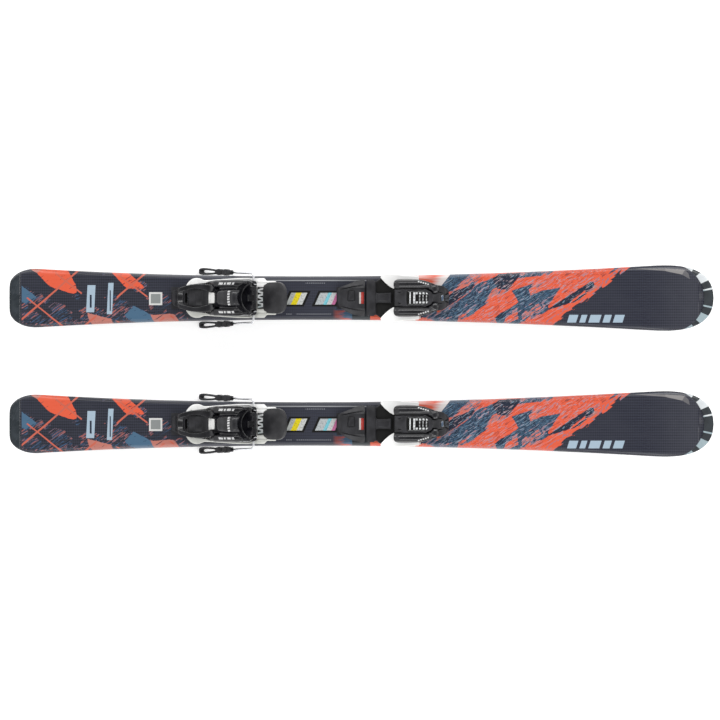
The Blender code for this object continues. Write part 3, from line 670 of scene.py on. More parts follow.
def labels(g, color):
    """Plain panels and slanted tabs."""
    for x, y in (((-425, -412.5), (-22, 20)), ((-392.8, -384.6), (-25, 23.5))):
        color = g.mix(g.panel(x, y, 0.05), color, ICE)
    color = g.mix(g.panel((-420.5, -417.5), (-15, 5)), color, NAVY)
    color = g.mix(g.panel((-389.6, -387.8), (-20, 12)), color, NAVY)
    color = g.mix(g.panel((-328.5, -308), (-11, 9)), color, WHITE)
    color = g.mix(g.panel((-325.8, -310.7), (-8.3, 6.3)), color, ink(146, 150, 149))
    tabs = (
        ((-112, -87), ((0.0, ink(178, 182, 178)), (0.30, ink(238, 218, 40)), (0.66, ink(214, 216, 212)))),
        ((-67, -36), ((0.0, ink(190, 196, 198)), (0.40, ink(130, 206, 220)), (0.58, ink(210, 212, 212)),
            (0.82, ink(212, 124, 170)))),
    )
    for (start, end), stops in tabs:
        color = g.mix(g.panel((start - 4, end + 4), (-13.0, 11.0), 0.45), color, ink(26, 26, 28))
        tones = g.ramp(g.range(g.subtract(g.x, g.times(g.y, 0.45)), start, end), stops, smooth=False)
        speckle = g.noise(g.mapped((0.45, 0.45, 0.1)), detail=2)
        tones = g.mix(g.range(speckle, 0.5, 0.62, 0.0, 0.4), tones, ink(90, 92, 94))
        color = g.mix(g.panel((start, end), (-10.2, 8.2), 0.45), color, tones)
    for i, length in enumerate((14, 9, 17, 11, 15)):
        start = 331 + (0, 19, 33, 55, 71)[i]
        color = g.mix(g.panel((start, start + length), (-38.0, -26.0), 0.32), color, ICE)
    return color


def topsheet_material():
    g = Graph("topsheet_print", roughness=0.34, coat=0.2)
    scuffs = g.noise(g.mapped((0.02, 0.9, 0.9)), detail=4)
    g.set("Base Color", printed(g))
    scuff_roughness_and_dim_white = g.range(scuffs, 0.3, 0.7, 0.26, 0.40)
    g.set("Roughness", g.subtract(scuff_roughness_and_dim_white, g.range(g.x, 420, 460, 0.0, 0.12)))
    g.bump(g.times(*film_grid(g)), 0.02, 0.5)
    return g.material


def sidewall_material():
    """Bare cap material, painted paler on the +Y side as if lit and darker on the -Y side as if shaded, and
    plain dark near the tip and tail.
    """
    g = Graph("cap_side", roughness=0.25, coat=0.5)
    streaks = g.noise(g.mapped((0.01, 0.8, 1.4)), detail=3)
    # Painted light and shade: the +Y side gets a paler copy of the cap colour, the -Y side a darker copy
    upper = g.mix(streaks, ink(128, 130, 132), ink(160, 161, 163))
    lower = g.mix(streaks, ink(66, 70, 72), ink(86, 90, 92))
    dark = g.mix(streaks, ink(40, 44, 48), ink(58, 62, 66))
    waist = g.both(g.range(g.x, 360, 420, 1.0, 0.0), g.range(g.x, -500, -470))
    color = g.mix(g.above(g.y, 0), lower, upper)
    g.set("Base Color", g.mix(waist, dark, color))
    g.set("Roughness", g.range(streaks, 0.3, 0.7, 0.18, 0.30))
    g.bump(streaks, 0.03, 0.4)
    return g.material


def tip_material():
    """A plain fan of wedges on black, whiter on the +Y side of the tip."""
    g = Graph("tip_print", roughness=0.3, coat=0.3)
    cloud = g.noise(g.mapped((0.1, 0.1, 0.1)), detail=3)
    paint = g.mix(g.above(g.y, 12), ink(168, 186, 192), ink(234, 238, 240))
    paint = g.mix(g.range(cloud, 0.3, 0.7, 0.0, 0.25), paint, ink(140, 156, 166))
    color = g.mix(g.range(cloud, 0.3, 0.7), ink(42, 47, 51), ink(54, 60, 65))
    angle = g.math("ARCTAN2", g.math("ABSOLUTE", g.y), g.subtract(g.x, TIP_ARC_X))
    wedges = g.above(g.math("SINE", g.times(angle, 14)), -0.25)
    g.set("Base Color", g.mix(g.both(wedges, g.above(angle, 0.2)), color, paint))
    g.bump(cloud, 0.05, 0.3)
    return g.material


def moulding_noises(g, grain=9.0):
    """A faint cloudiness, a fine grain and slight handling marks."""
    cloud = g.noise(g.mapped((0.08,) * 3), detail=3)
    fine = g.noise(g.mapped((grain * 0.2,) * 3), detail=3, roughness=0.7)
    return cloud, fine, g.noise(g.mapped((0.5, 0.06, 0.3), turn=20), detail=4, roughness=0.65)


def moulded_plastic(name, dark, light, roughness, spread=0.08, coat=0.0, grain=9.0, depth=0.02):
    """Injection-moulded plastic in one colour."""
    g = Graph(name, roughness=roughness, coat=coat)
    cloud, fine, marks = moulding_noises(g, grain)
    g.set("Base Color", g.mix(g.range(cloud, 0.35, 0.65), dark, light))
    wear = g.add(g.range(marks, 0.35, 0.75, -spread, spread), g.range(fine, 0.3, 0.7, -0.03, 0.03))
    g.set("Roughness", g.add(wear, roughness))
    g.bump(fine, depth, 0.6)
    return g.material


def white_plastic():
    """White moulding, darker and a little yellower on the heel's -Y flank, and greyer on the +Y side at the
    toe.
    """
    g = Graph("white_plastic", roughness=0.34, coat=0.2)
    cloud, fine, marks = moulding_noises(g)
    brighter_white = g.mix(g.range(cloud, 0.35, 0.65), (0.80, 0.80, 0.79, 1), (0.86, 0.86, 0.85, 1))
    scuff_roughness_and_dim_white = g.mix(g.range(cloud, 0.35, 0.65), (0.52, 0.525, 0.49, 1), (0.60, 0.605, 0.57, 1))
    # Darker, slightly yellower white on the heel's -Y side; greyer white on the toe's +Y side
    heel = g.mix(g.range(g.y, -14, 8), scuff_roughness_and_dim_white, brighter_white)
    toe = g.mix(g.range(g.y, -12, 12), brighter_white, (0.66, 0.66, 0.655, 1))
    g.set("Base Color", g.mix(g.above(g.x, -60), heel, toe))
    g.set("Roughness", g.add(g.range(marks, 0.35, 0.75, -0.08, 0.08), 0.34))
    g.bump(fine, 0.01, 0.6)
    return g.material


def metal(name, color, roughness, stretch=(0.15, 3.0, 3.0)):
    g = Graph(name, roughness=roughness, metallic=1.0)
    brushed = g.noise(g.mapped(stretch), detail=4, roughness=0.6)
    tint = tuple(c * 0.75 for c in color[:3]) + (1.0,)
    g.set("Base Color", g.mix(g.range(brushed, 0.3, 0.7), tint, color))
    g.set("Roughness", g.range(brushed, 0.3, 0.7, roughness - 0.07, roughness + 0.1))
    g.bump(brushed, 0.02, 0.5)
    return g.material


def wood_material():
    g = Graph("wood_core", roughness=0.6)
    rings = g.noise(g.mapped((0.004, 0.35, 0.5)), detail=4)
    g.set("Base Color", g.ramp(rings, [(0.3, srgb(150, 112, 70)), (0.55, srgb(196, 156, 108)),
        (0.7, srgb(170, 128, 84))]))
    g.bump(rings, 0.1, 0.4)
    return g.material


def base_material():
    """Sintered running base with a fine stone grind along it."""
    g = Graph("base_black", roughness=0.4)
    grind = g.math("SINE", g.times(g.add(g.y, g.times(g.noise(g.mapped((0.01, 0.2, 0.2))), 2)), 4))
    cloud = g.noise(g.mapped((0.01, 0.2, 0.2)), detail=4)
    g.set("Base Color", g.ramp(cloud, [(0.3, ink(30, 30, 33)), (0.7, ink(52, 52, 56))]))
    g.bump(grind, 0.03, 0.5)
    return g.material


def scale_material():
    """A white plate with a faint row of graduations."""
    g = Graph("release_scale", roughness=0.35)
    step = g.math("FRACT", g.times(g.y, 0.42))
    tick = g.both(g.below(step, 0.2), g.between(g.y, -5.2, 5.2), g.between(g.x, -234.0, -231.8))
    cloud = g.noise(g.mapped((0.3,) * 3), detail=2)
    white = g.mix(cloud, ink(238, 238, 236), ink(250, 250, 248))
    g.set("Base Color", g.mix(g.times(tick, 0.4), white, ink(90, 92, 96)))
    return g.material


def window_material():
    """A dark plate with a pale outline and plain graduation bars."""
    g = Graph("toe_window", roughness=0.3, coat=0.2)
    cloud = g.noise(g.mapped((0.7, 0.7, 0.5)), detail=3)
    pale = g.mix(g.range(cloud, 0.35, 0.6), ink(150, 152, 154), ink(242, 244, 245))
    away = g.math("ABSOLUTE", g.y)
    step = g.math("FRACT", g.times(g.x, 0.19))
    rows = g.both(g.between(away, 5.6, 8.6), g.between(g.x, 80.5, 104), g.below(step, 0.62))
    bar = g.both(g.between(g.x, 80.5, 83.5), g.below(away, 8.6))
    ticks = g.both(g.between(away, 0.6, 4.2), g.between(g.x, 86.5, 102), g.below(step, 0.34))
    first = g.both(g.between(g.x, 74.6, 76.6), g.below(away, 8.8))
    marks = g.math("MAXIMUM", g.math("MAXIMUM", rows, bar), g.math("MAXIMUM", first, g.times(ticks, 0.6)))
    outline = g.both(g.between(away, 9.4, 10.1), g.between(g.x, 72, 100))
    g.set("Base Color", g.mix(g.math("MAXIMUM", marks, g.times(outline, 0.3)), ink(34, 35, 37), pale))
    return g.material


def gauge_material():
    g = Graph("toe_gauge", roughness=0.2, coat=0.6)
    cloud = g.noise(g.mapped((0.4,) * 3), detail=2)
    glass = g.both(g.between(g.x, 124.0, 127.2), g.below(g.math("ABSOLUTE", g.y), 4.2))
    g.set("Base Color", g.mix(glass, ink(30, 32, 36), g.mix(cloud, ink(74, 90, 112), ink(96, 112, 134))))
    return g.material


def dash_material():
    g = Graph("pale_dash", roughness=0.3, coat=0.2)
    cloud = g.noise(g.mapped((0.6,) * 3), detail=3)
    g.set("Base Color", g.mix(g.range(cloud, 0.35, 0.6), ink(170, 171, 173), ink(240, 240, 240)))
    return g.material


def sticker_material():
    g = Graph("toe_sticker", roughness=0.3)
    red = g.above(g.x, -0.4)
    cloud = g.noise(g.mapped((0.5,) * 3), detail=2)
    paint = g.mix(red, ink(214, 212, 210), ink(186, 62, 56))
    g.set("Base Color", g.mix(g.times(cloud, 0.3), paint, ink(120, 100, 98)))
    return g.material


def materials():
    return {
        "topsheet": topsheet_material(),
        "side": sidewall_material(),
        "tip": tip_material(),
        "wood": wood_material(),
        "base": base_material(),
        "edge": metal("edge_steel", srgb(150, 151, 154), 0.32, (0.6, 2.0, 2.0)),
        "black": moulded_plastic("black_plastic", ink(54, 54, 56), ink(67, 67, 70), 0.40),
        # A near-black that paints the shade in the toe's recesses, used for the toe bed
        "deep": moulded_plastic("painted_shade_black", ink(12, 12, 13), ink(26, 26, 27), 0.5),
        "gloss": moulded_plastic("black_gloss", ink(38, 38, 40), ink(50, 50, 53), 0.24, coat=0.4,
            depth=0.008),
        "tail": moulded_plastic("tail_black", ink(52, 57, 61), ink(66, 71, 76), 0.26, coat=0.3, depth=0.008),
        "pad": moulded_plastic("pad_black", ink(54, 54, 56), ink(67, 67, 69), 0.42, grain=14, depth=0.05),
        "white": white_plastic(),
        "steel": metal("steel", srgb(196, 197, 200), 0.25),
        "blued": metal("steel_blued", srgb(70, 72, 76), 0.3),
        "bright": moulded_plastic("comb_bright", ink(190, 204, 204), ink(242, 244, 244), 0.3, coat=0.3),
        "wire": metal("spring_steel", srgb(222, 223, 226), 0.2, (0.4, 0.4, 0.4)),
        "scale": scale_material(),
        "window": window_material(),
        "gauge": gauge_material(),
        "dash": dash_material(),
        "sticker": sticker_material(),
    }


# ---------------------------------------------------------------- the ski


def smooth_step(t):
    t = min(max(t, 0.0), 1.0)
    return t * t * (3 - 2 * t)


def half_width(x):
    if x < WAIST_X:
        half = WAIST_HALF + TAIL_GAIN * ((WAIST_X - x) / TAIL_REACH) ** 2.25
    else:
        half = WAIST_HALF + TIP_GAIN * ((x - WAIST_X) / TIP_REACH) ** 1.85
    share = (TAIL_X + TAIL_CORNER_LENGTH - x) / TAIL_CORNER_LENGTH
    if share > 0:
        return half - TAIL_CORNER_DEPTH * (1 - math.sqrt(max(1 - share**2, 0.0)))
    if x > TIP_ROUND_X:
        share = min((x - TIP_ROUND_X) / (TIP_X - TIP_ROUND_X), 1.0)
        half *= (1 - share ** TIP_ROUND_POWERS[0]) ** TIP_ROUND_POWERS[1]
    return max(half, 2.0)


def base_z(x):
    if x > TIP_CONTACT_X:
        return TIP_RISE * ((x - TIP_CONTACT_X) / (TIP_X - TIP_CONTACT_X)) ** 2.2
    if x < TAIL_CONTACT_X:
        return TAIL_RISE * ((TAIL_CONTACT_X - x) / (TAIL_CONTACT_X - TAIL_X)) ** 2
    reach = (TIP_CONTACT_X if x > CAMBER_X else TAIL_CONTACT_X) - CAMBER_X
    return CAMBER * (1 - ((x - CAMBER_X) / reach) ** 2) ** 2


def top_z(x):
    if x > DECK_FRONT_X:
        share = smooth_step((x - DECK_FRONT_X) / (TIP_CONTACT_X + 20 - DECK_FRONT_X))
    else:
        share = smooth_step((DECK_BACK_X - x) / (DECK_BACK_X - TAIL_CONTACT_X + 20))
    end = END_THICKNESS * (1 - 0.35 * smooth_step((abs(x) - 480) / 65))
    return (1 - share) * DECK_Z + share * (base_z(x) + end)


def slope_width(x):
    return 4.5 + 7.0 * smooth_step((x - 380) / 120) + 5.0 * smooth_step((-430 - x) / 90)


def cap_side(x, low, inset=0.0):
    """The +Y side of the cap's section, from its foot to its flat top."""
    half, slope = half_width(x), slope_width(x)
    slope = min(slope, 0.8 * half)
    top = top_z(x) - inset
    wall = base_z(x) + 1.6 + 0.35 * (top_z(x) - base_z(x)) - 0.3 * inset
    foot, shoulder, flat = (half - inset, low), (half - inset, wall), (half - slope, top)
    made = [foot, (half - inset, (low + wall) / 2), shoulder]
    rise = Vector((flat[0] - shoulder[0], flat[1] - shoulder[1]))
    for t in (0.2, 0.4, 0.6, 0.8):
        bulge = 0.9 * math.sin(math.pi * t) * (1 - inset)
        made.append((shoulder[0] + rise.x * t + bulge * 0.5, shoulder[1] + rise.y * t + bulge * 0.5))
    return [*made, flat, (flat[0] - 1.4, top + 0.05)]


def along(start, end, step):
    count = max(2, math.ceil((end - start) / step) + 1)
    return [start + (end - start) * i / (count - 1) for i in range(count)]


def outside_tip_arc(radius):
    curve = arc((TIP_ARC_X, 0), radius, 90, -90, 60)
    far = [(TIP_ARC_X, -120), (TIP_X + 60, -120), (TIP_X + 60, 120), (TIP_ARC_X, 120)]
    return slab([*curve, *far], -50, 150)


def topsheet():
    """The printed skin: the cap's outside with a thin wall, its bottom open over the core."""
    rings = []
    stations = [*along(TAIL_CAP_X + 0.15, -500, 3), *along(-494, 430, 8),
        *along(434, TIP_ARC_X + TIP_ARC_RADIUS + 6, 4)]
    for x in stations:
        low = base_z(x) + EDGE_HEIGHT
        outer, inner = cap_side(x, low), cap_side(x, low, SKIN)
        ring = [(x, y, z) for y, z in outer] + [(x, -y, z) for y, z in reversed(outer)]
        ring += [(x, -y, z) for y, z in inner] + [(x, y, z) for y, z in reversed(inner)]
        rings.append(ring)
    return cut(loft(rings), outside_tip_arc(TIP_ARC_RADIUS))


def end_ring(x, shrink=0.0):
    side = cap_side(x, base_z(x) + 0.05)
    half = max(y for y, _ in side)
    share = (half - shrink) / half
    middle = (base_z(x) + top_z(x)) / 2
    points = [(y * share, middle + (z - middle) * (1 - 0.12 * shrink)) for y, z in side]
    return [(x, y, z) for y, z in points] + [(x, -y, z) for y, z in reversed(points)]


def tail_protector():
    rings = [end_ring(TAIL_X, 1.6), end_ring(TAIL_X + 0.5, 0.8), end_ring(TAIL_X + 1.4, 0.2)]
    return loft(rings + [end_ring(x) for x in along(TAIL_X + 2.2, TAIL_CAP_X, 0.9)])


def tip_protector():
    rings = [end_ring(x) for x in along(500, TIP_X - 3, 1.5)]
    rings += [end_ring(TIP_X - 1.6, 0.2), end_ring(TIP_X - 0.6, 0.7), end_ring(TIP_X, 1.0)]
    return common(loft(rings), outside_tip_arc(TIP_ARC_RADIUS + 0.05))


# ---------------------------------------------------------------- heel


def channel(half, top, back, front):
    """The part of a slider that is hooked round its track."""
    side = [(half, top), (half, 19.8), (13.6, 19.8), (13.6, 21.5), (17.5, 21.5), (17.5, 24.8)]
    return slab([*side, *[(-y, z) for y, z in reversed(side)]], back, front, plane="YZ")


def heel_chassis():
    plan = mirrored(
        [(-271, 18), (-264.5, 27), (-258, 30.2), (-250, 30.6), (-243, 27.6), (-228, 28), (-208, 29.4),
            (-190, 30.7), (-150, 30.7), (-145.5, 26), (-151, 17)]
    )
    fender = curved(
        [(-271, 18.5), (-267, 25), (-261, 29.6), (-254, 30.9), (-248, 29.6), (-243, 27.4), (-236, 27.4),
            (-228, 28.2), (-228, 25.6), (-240, 22.8), (-252, 21.3), (-264, 20.4)],
        steps=3,
    )
    fender_side = [(-273, 25), (-270, 30), (-262, 37), (-254, 39), (-246, 38), (-228, 34), (-226, 25)]
    rail = [(-229, 26.2), (-229, 28.2), (-190, 30.9), (-172, 30.9), (-172, 28.6), (-190, 28.6)]
    prong = [(-150, 23.4), (-133, 23.4), (-131, 24.8), (-133, 26.2), (-150, 26.2)]
    cheek = [(-160.2, 23.4), (-161, 26.5), (-157.5, 30.4), (-149, 29.6), (-145.6, 26), (-146.5, 23.4)]
    sides = join(
        common(slab(fender, 26, 40), slab(fender_side, -50, 50, plane="XZ")),
        slab(rail, 26, 30.4),
        slab(prong, 25, 27.6),
        slab(cheek, 26, 33.5),
    )
    body = join(channel(20.5, 26, -271, -151), slab(plan, 24.8, 28.2), both_sides(sides))
    return moulded(body, voxel=0.6, smoothing=4, keep=0.3)


def heel_comb():
    """The row of bright ridges across the front of the heel."""
    ridges = []
    for i in range(7):
        y = -13.2 + 4.4 * i
        lean = 1.1 if i % 2 else -1.1
        outline = [(-160.3, y - 1.3 + lean), (-160.3, y + 1.3 + lean), (-151.6, y + 1.5 - lean),
            (-151.6, y - 1.5 - lean)]
        ridges.append(slab(outline, 29.0, 33.2))
    return moulded(join(box((-160.2, -151.8), (-16.4, 16.4), (28.5, 29.6)), *ridges), voxel=0.35, smoothing=3)


def heel_comb_bed():
    """The dark strip that shows between the ridges."""
    return bevelled(box((-160.6, -151.3), (-17.0, 17.0), (28.0, 30.2)), 0.4, 2)


def heel_housing():
    side = curved(
        [(-270, 29), (-270.2, 40), (-268, 46), (-260, 48.6), (-246, 49.4), (-238, 51), (-226, 57.2),
            (-217, 59.6), (-207, 57.8), (-200, 50), (-197, 40), (-196.5, 29)],
        steps=3,
    )
    body = slab(side, -12.6, 12.6, plane="XZ")
    skirt = slab(rounded([(-268, 14), (-262, 18.6), (-232, 18.8), (-204, 18.6), (-198, 14)]), 28.8, 31.5)
    flank = common(
        slab([(-273, 12), (-272.6, 16.6), (-268, 19.2), (-258, 21.4), (-246, 22.8), (-241, 23.4), (-241, 12)],
            28.8, 60),
        slab([(-273, 28.8), (-272.6, 40.5), (-268, 43.6), (-255, 45.6), (-241, 46.2), (-241, 28.8)], 0, 40,
            plane="XZ"),
    )
    tunnel = cylinder(8.0, (-272, 0, 38.5), (-224, 0, 38.5))
    hole = cylinder(3.4, (JAW_AXIS[0], -30, JAW_AXIS[1]), (JAW_AXIS[0], 30, JAW_AXIS[1]))
    dish = cylinder(46, (-256, 0, 93.4), (-246, 0, 93.4), 90)
    steps = [box((-250, -222.5), sorted((s * 8.7, s * 13)), (53.8, 70)) for s in (1, -1)]
    body = cut(join(body, skirt, both_sides(flank)), tunnel, hole, dish, *steps)
    return moulded(body, voxel=0.6, smoothing=5)


def heel_scale():
    slope = math.degrees(math.atan2(57.2 - 51, -226 + 238))
    plate = slab(rounded([(-5.2, 7.6), (-3.6, 8.4), (2.8, 8.0), (4.8, 6.4)]), 0.8, 2.4)
    plate.data.transform(Matrix.Rotation(math.radians(-slope), 4, "Y"))
    return bevelled(moved(plate, x=-230.0, z=54.7), 0.35, 2)


def jaw_height(x, y):
    """The jaw's top, shut: a raised middle and two rounded shoulders with a valley between."""
    y = abs(y)
    neck = 10.4 + 3.4 * smooth_step((x + 222) / 30)
    middle = 1 / (1 + (y / neck) ** 10)
    shoulder = level(JAW_SHOULDER, x)
    side = 1 / (1 + abs((y - 22.6) / 6.2) ** 8)
    dome = 0.05 * (y - 21.5) ** 2 + 0.22 * max(y - 24, 0) ** 2
    valley = shoulder - 4.6
    crown = level(JAW_CROWN, x) - 0.016 * y * y
    return valley + (crown - valley) * middle + (shoulder - dome - valley) * side


def heel_jaw():
    plan = mirrored(
        [(-226.5, 12), (-225.4, 21.9), (-235.6, 21.9), (-236.4, 22.8), (-234.6, 24.1), (-227, 26.4),
            (-218, 27.5), (-204, 28), (-182, 27.9), (-171, 27.2), (-165.6, 24.5), (-163.3, 19), (-163.2, 8)]
    )
    low = [(-226, 40), (-222.5, 34), (-208, 34), (-196, 35.8), (-163.3, 35.8), (-163.3, 38.4), (-169, 41),
        (-167, 76), (-238, 76), (-238, 56.4), (-228.5, 56), (-224.4, 50)]
    body = common(relief((-238, -162), (-29, 29), 30, jaw_height), slab(plan, 20, 90),
        slab(low, -40, 40, plane="XZ"))
    x, z = JAW_AXIS
    room = cylinder(24.2, (-159.5, 0, 39), (-159.5, 0, 67), 60)
    above = cylinder(18.2, (-158.0, 0, 60), (-158.0, 0, 85), 60)
    inner = cylinder(20.4, (x, -20.1, z), (x, 20.1, z), 60)
    rear_gap = box((-240, x + 2), (-20.1, 20.1), (20, 62.3))
    below = box((-240, -193), (-20.1, 20.1), (20, z))
    notch = box((-172, -160), (-4.5, 4.5), (34, 43))
    sides = [box((-170, -150), sorted((s * 17.5, s * 40)), (40, 80)) for s in (1, -1)]
    crank_slots = [box((-167.4, -150), sorted((s * 17.8, s * 22.9)), (30, 41)) for s in (1, -1)]
    pins = [cylinder(4.4, (x, s * 27.0, z), (x, s * 32, z)) for s in (1, -1)]
    hole = cylinder(3.3, (x, -40, z), (x, 40, z))
    body = cut(body, room, above, inner, rear_gap, below, notch, *sides, *crank_slots, *pins, hole)
    body = turned_about(moulded(body, voxel=0.55, smoothing=5), JAW_AXIS, -JAW_OPEN_DEG)
    return cut(body, slab([(-246, -10.5), (-224.2, -8.8), (-224.2, 8.8), (-246, 10.5)], 50, 75))


def heel_dashes():
    """Plain pale bars: slanted ones on each shoulder of the jaw and a row across its crown."""
    made = []
    for sign in (1, -1):
        for x, length in ((-210.0, 7.6), (-200.4, 3.2), (-195.2, 6.4), (-186.8, 3.4)):
            outline = [(x, sign * 20.4), (x + length, sign * 20.4), (x + length + 1.4, sign * 23.8),
                (x + 1.4, sign * 23.8)]
            made.append(outline)
    for i in range(6):
        y = -11.8 + 4.0 * i
        made.append([(-191.4, y), (-187.4, y + 0.4), (-187.4, y + 3.1), (-191.4, y + 2.7)])
    stamps = [slab(outline, 50, 90) for outline in made]
    skin = relief((-214, -178), (-26, 26), 50, lambda x, y: jaw_height(x, y) + 0.22)
    return turned_about(common(join(*stamps), skin), JAW_AXIS, -JAW_OPEN_DEG)


def heel_lever():
    outer = mirrored(
        [(-284.4, 3), (-284.4, 11.2), (-283.6, 13.8), (-280.5, 16.0), (-274, 18.2), (-266, 20.2),
            (-256, 21.3), (-246, 21.5), (-238, 20.8), (-229, 19.6), (-206, 19.4)]
    )
    side = curved(
        [(-284.4, 50), (-283.2, 53.4), (-278, 55), (-262, 57.4), (-244, 61), (-234, 61.6), (-224, 56.4),
            (-214, 49.8), (-207.4, 46), (-206.8, 40), (-211, 35.4), (-217, 34.6), (-222, 38),
            (-231, 49.6), (-242, 52.4), (-262, 50), (-279, 47.6)],
        steps=3,
    )
    body = common(slab(outer, 20, 90), slab(side, -40, 40, plane="XZ"))
    opening = mirrored(
        [(-275.4, 3), (-275.2, 7.6), (-272.8, 10.8), (-267, 13.2), (-259, 14.3), (-250, 13.8), (-242, 11.6),
            (-236, 9.9), (-229, 9.4), (-228.6, 13.3), (-190, 13.3)]
    )
    under = mirrored([(-250, 13.3), (-190, 13.3)])
    hole = cylinder(3.3, (JAW_AXIS[0], -40, JAW_AXIS[1]), (JAW_AXIS[0], 40, JAW_AXIS[1]))
    dish = cylinder(16, (-293, 0, 69.0), (-272, 0, 66.5), 60)
    body = cut(body, slab(opening, 20, 90), slab(under, 20, 54.8), hole, dish)
    return moulded(body, voxel=0.6, smoothing=7)


def heel_latch():
    plan = rounded([(-292.8, 6), (-291, 10.6), (-286, 12.8), (-274, 12.8)])
    side = [(-293, 27), (-291.5, 31.3), (-288, 31.9), (-284.5, 29.6), (-274.5, 30.3), (-273.7, 28),
        (-276, 25.2), (-291, 25.2)]
    grips = [box((x, x + 0.9), (-9, 9), (31.0, 33)) for x in (-291.4, -289.6, -287.8)]
    return moulded(cut(common(slab(plan, 20, 40), slab(side, -30, 30, plane="XZ")), *grips), voxel=0.45,
        smoothing=3)


# ---------------------------------------------------------------- brake


def brake_bracket():
    x, z = BRAKE_AXIS
    plan = rounded([(-182, 10), (-181.4, 24), (-178, 27), (-168, 27.1), (-163, 25.6), (-161.8, 20)])
    body = slab(plan, 28.8, 34.5)
    slots = [box((-171, -155), sorted((s * 18.2, s * 22.5)), (29.4, 40)) for s in (1, -1)]
    bore = cylinder(2.1, (x, -40, z), (x, 40, z))
    pocket = box((-164.2, -155), (-18.3, 18.3), (33.4, 40))
    ribs = [box((-180, -165), (y - 0.8, y + 0.8), (33.3, 40)) for y in (-13, -8, -3, 3, 8, 13)]
    return moulded(cut(body, *slots, bore, pocket, *ribs), voxel=0.5, smoothing=3)


def brake_open(obj):
    moved(obj, x=BRAKE_AXIS[0], z=BRAKE_AXIS[1])
    return turned_about(obj, BRAKE_AXIS, -BRAKE_OPEN_DEG)


def brake_wire():
    arm = Vector((-math.sqrt(ARM_LENGTH**2 - (ARM_TIP_Y - ARM_ROOT_Y) ** 2), ARM_TIP_Y - ARM_ROOT_Y, 0))
    arm_end = Vector((0, ARM_ROOT_Y, 0)) + arm.normalized() * 69
    half = filleted([(44, 0, 1), (44, 20.35, 1), (0, 20.35, 0), (0, ARM_ROOT_Y, 0), tuple(arm_end)], 5.6)
    other = [(x, -y, z) for x, y, z in half[1:]]
    return brake_open(tube([*reversed(other), *half], 1.6))


def brake_sleeves():
    """White arms moulded over the wire between the bracket and the pad."""
    arm = slab([(8.6, 18.2), (8.6, 22.6), (27, 22.6), (31, 20.5), (31, 18.2)], -2.2, 2.6)
    return brake_open(moulded(both_sides(arm), voxel=0.5, smoothing=4))


def brake_pedal():
    plan = rounded([(22.4, 10), (22.6, 17.6), (25, 21.6), (32, 23.8), (50, 24.2), (59, 21.4),
        (64.4, 14), (66, 5)], steps=4)

    def crown(u, v):
        return 6.4 - 0.0052 * (u - 42) ** 2 - 0.0000105 * v**4

    body = common(slab(plan, -3.4, 20), relief((22, 67), (-26, 26), -8, crown))
    rear = slab([(20, -9), (33.5, -9), (24, 0.4), (20, 0.4)], -40, 40, plane="XZ")
    body = cut(body, rear)
    rim = cut(
        slab(rounded([(20, 9), (21, 22), (27, 25.5), (52, 25.8), (62, 23), (68, 12)]), 1.0,
            1.7),
        slab(rounded([(26, 8), (27, 18), (31, 21.8), (50, 22.4), (58, 19.6), (63.6, 9)]),
            0.5, 3),
    )
    bar = box((41.6, 46.4), (-22.6, 22.6), (-10, 3.0))
    cranks = [box((20, 44), sorted((s * 17.9, s * 22.8)), (-10, 3.0)) for s in (1, -1)]
    return brake_open(moulded(cut(body, rim, bar, *cranks), voxel=0.6, smoothing=8))


def brake_paddle(sign):
    half = [(44.2, 2.9), (46, 3.6), (49, 3.8), (52, 4.6), (55.5, 5.0), (59, 4.2), (62, 3.5), (65, 4.3),
        (68.8, 5.0), (72, 4.2), (76, 3.7), (84, 4.5), (94, 5.2), (101, 5.4), (106, 4.4), (108.2, 2.4)]
    body = slab(rounded(half), -4.4, 4.4)
    slot = rounded([(75.5, 0.5), (82, 1.4), (92, 2.0), (99, 2.2), (103, 1.4), (104.2, 0.5)])
    groove = [box((a, a + 1.3), (-6, 6), sorted((s * 3.3, s * 6))) for a in (49.5, 61.0, 73.0)
        for s in (1, -1)]
    bore = cylinder(1.8, (40, 0, 0), (70.5, 0, 0))
    body = moulded(cut(body, slab(slot, -20, 20), *groove, bore), voxel=0.45, smoothing=6)
    splay = math.atan2(ARM_TIP_Y - ARM_ROOT_Y, ARM_LENGTH)
    body.data.transform(Matrix.Rotation(math.pi - sign * splay, 4, "Z"))
    return brake_open(moved(body, y=sign * ARM_ROOT_Y))


# ---------------------------------------------------------------- toe


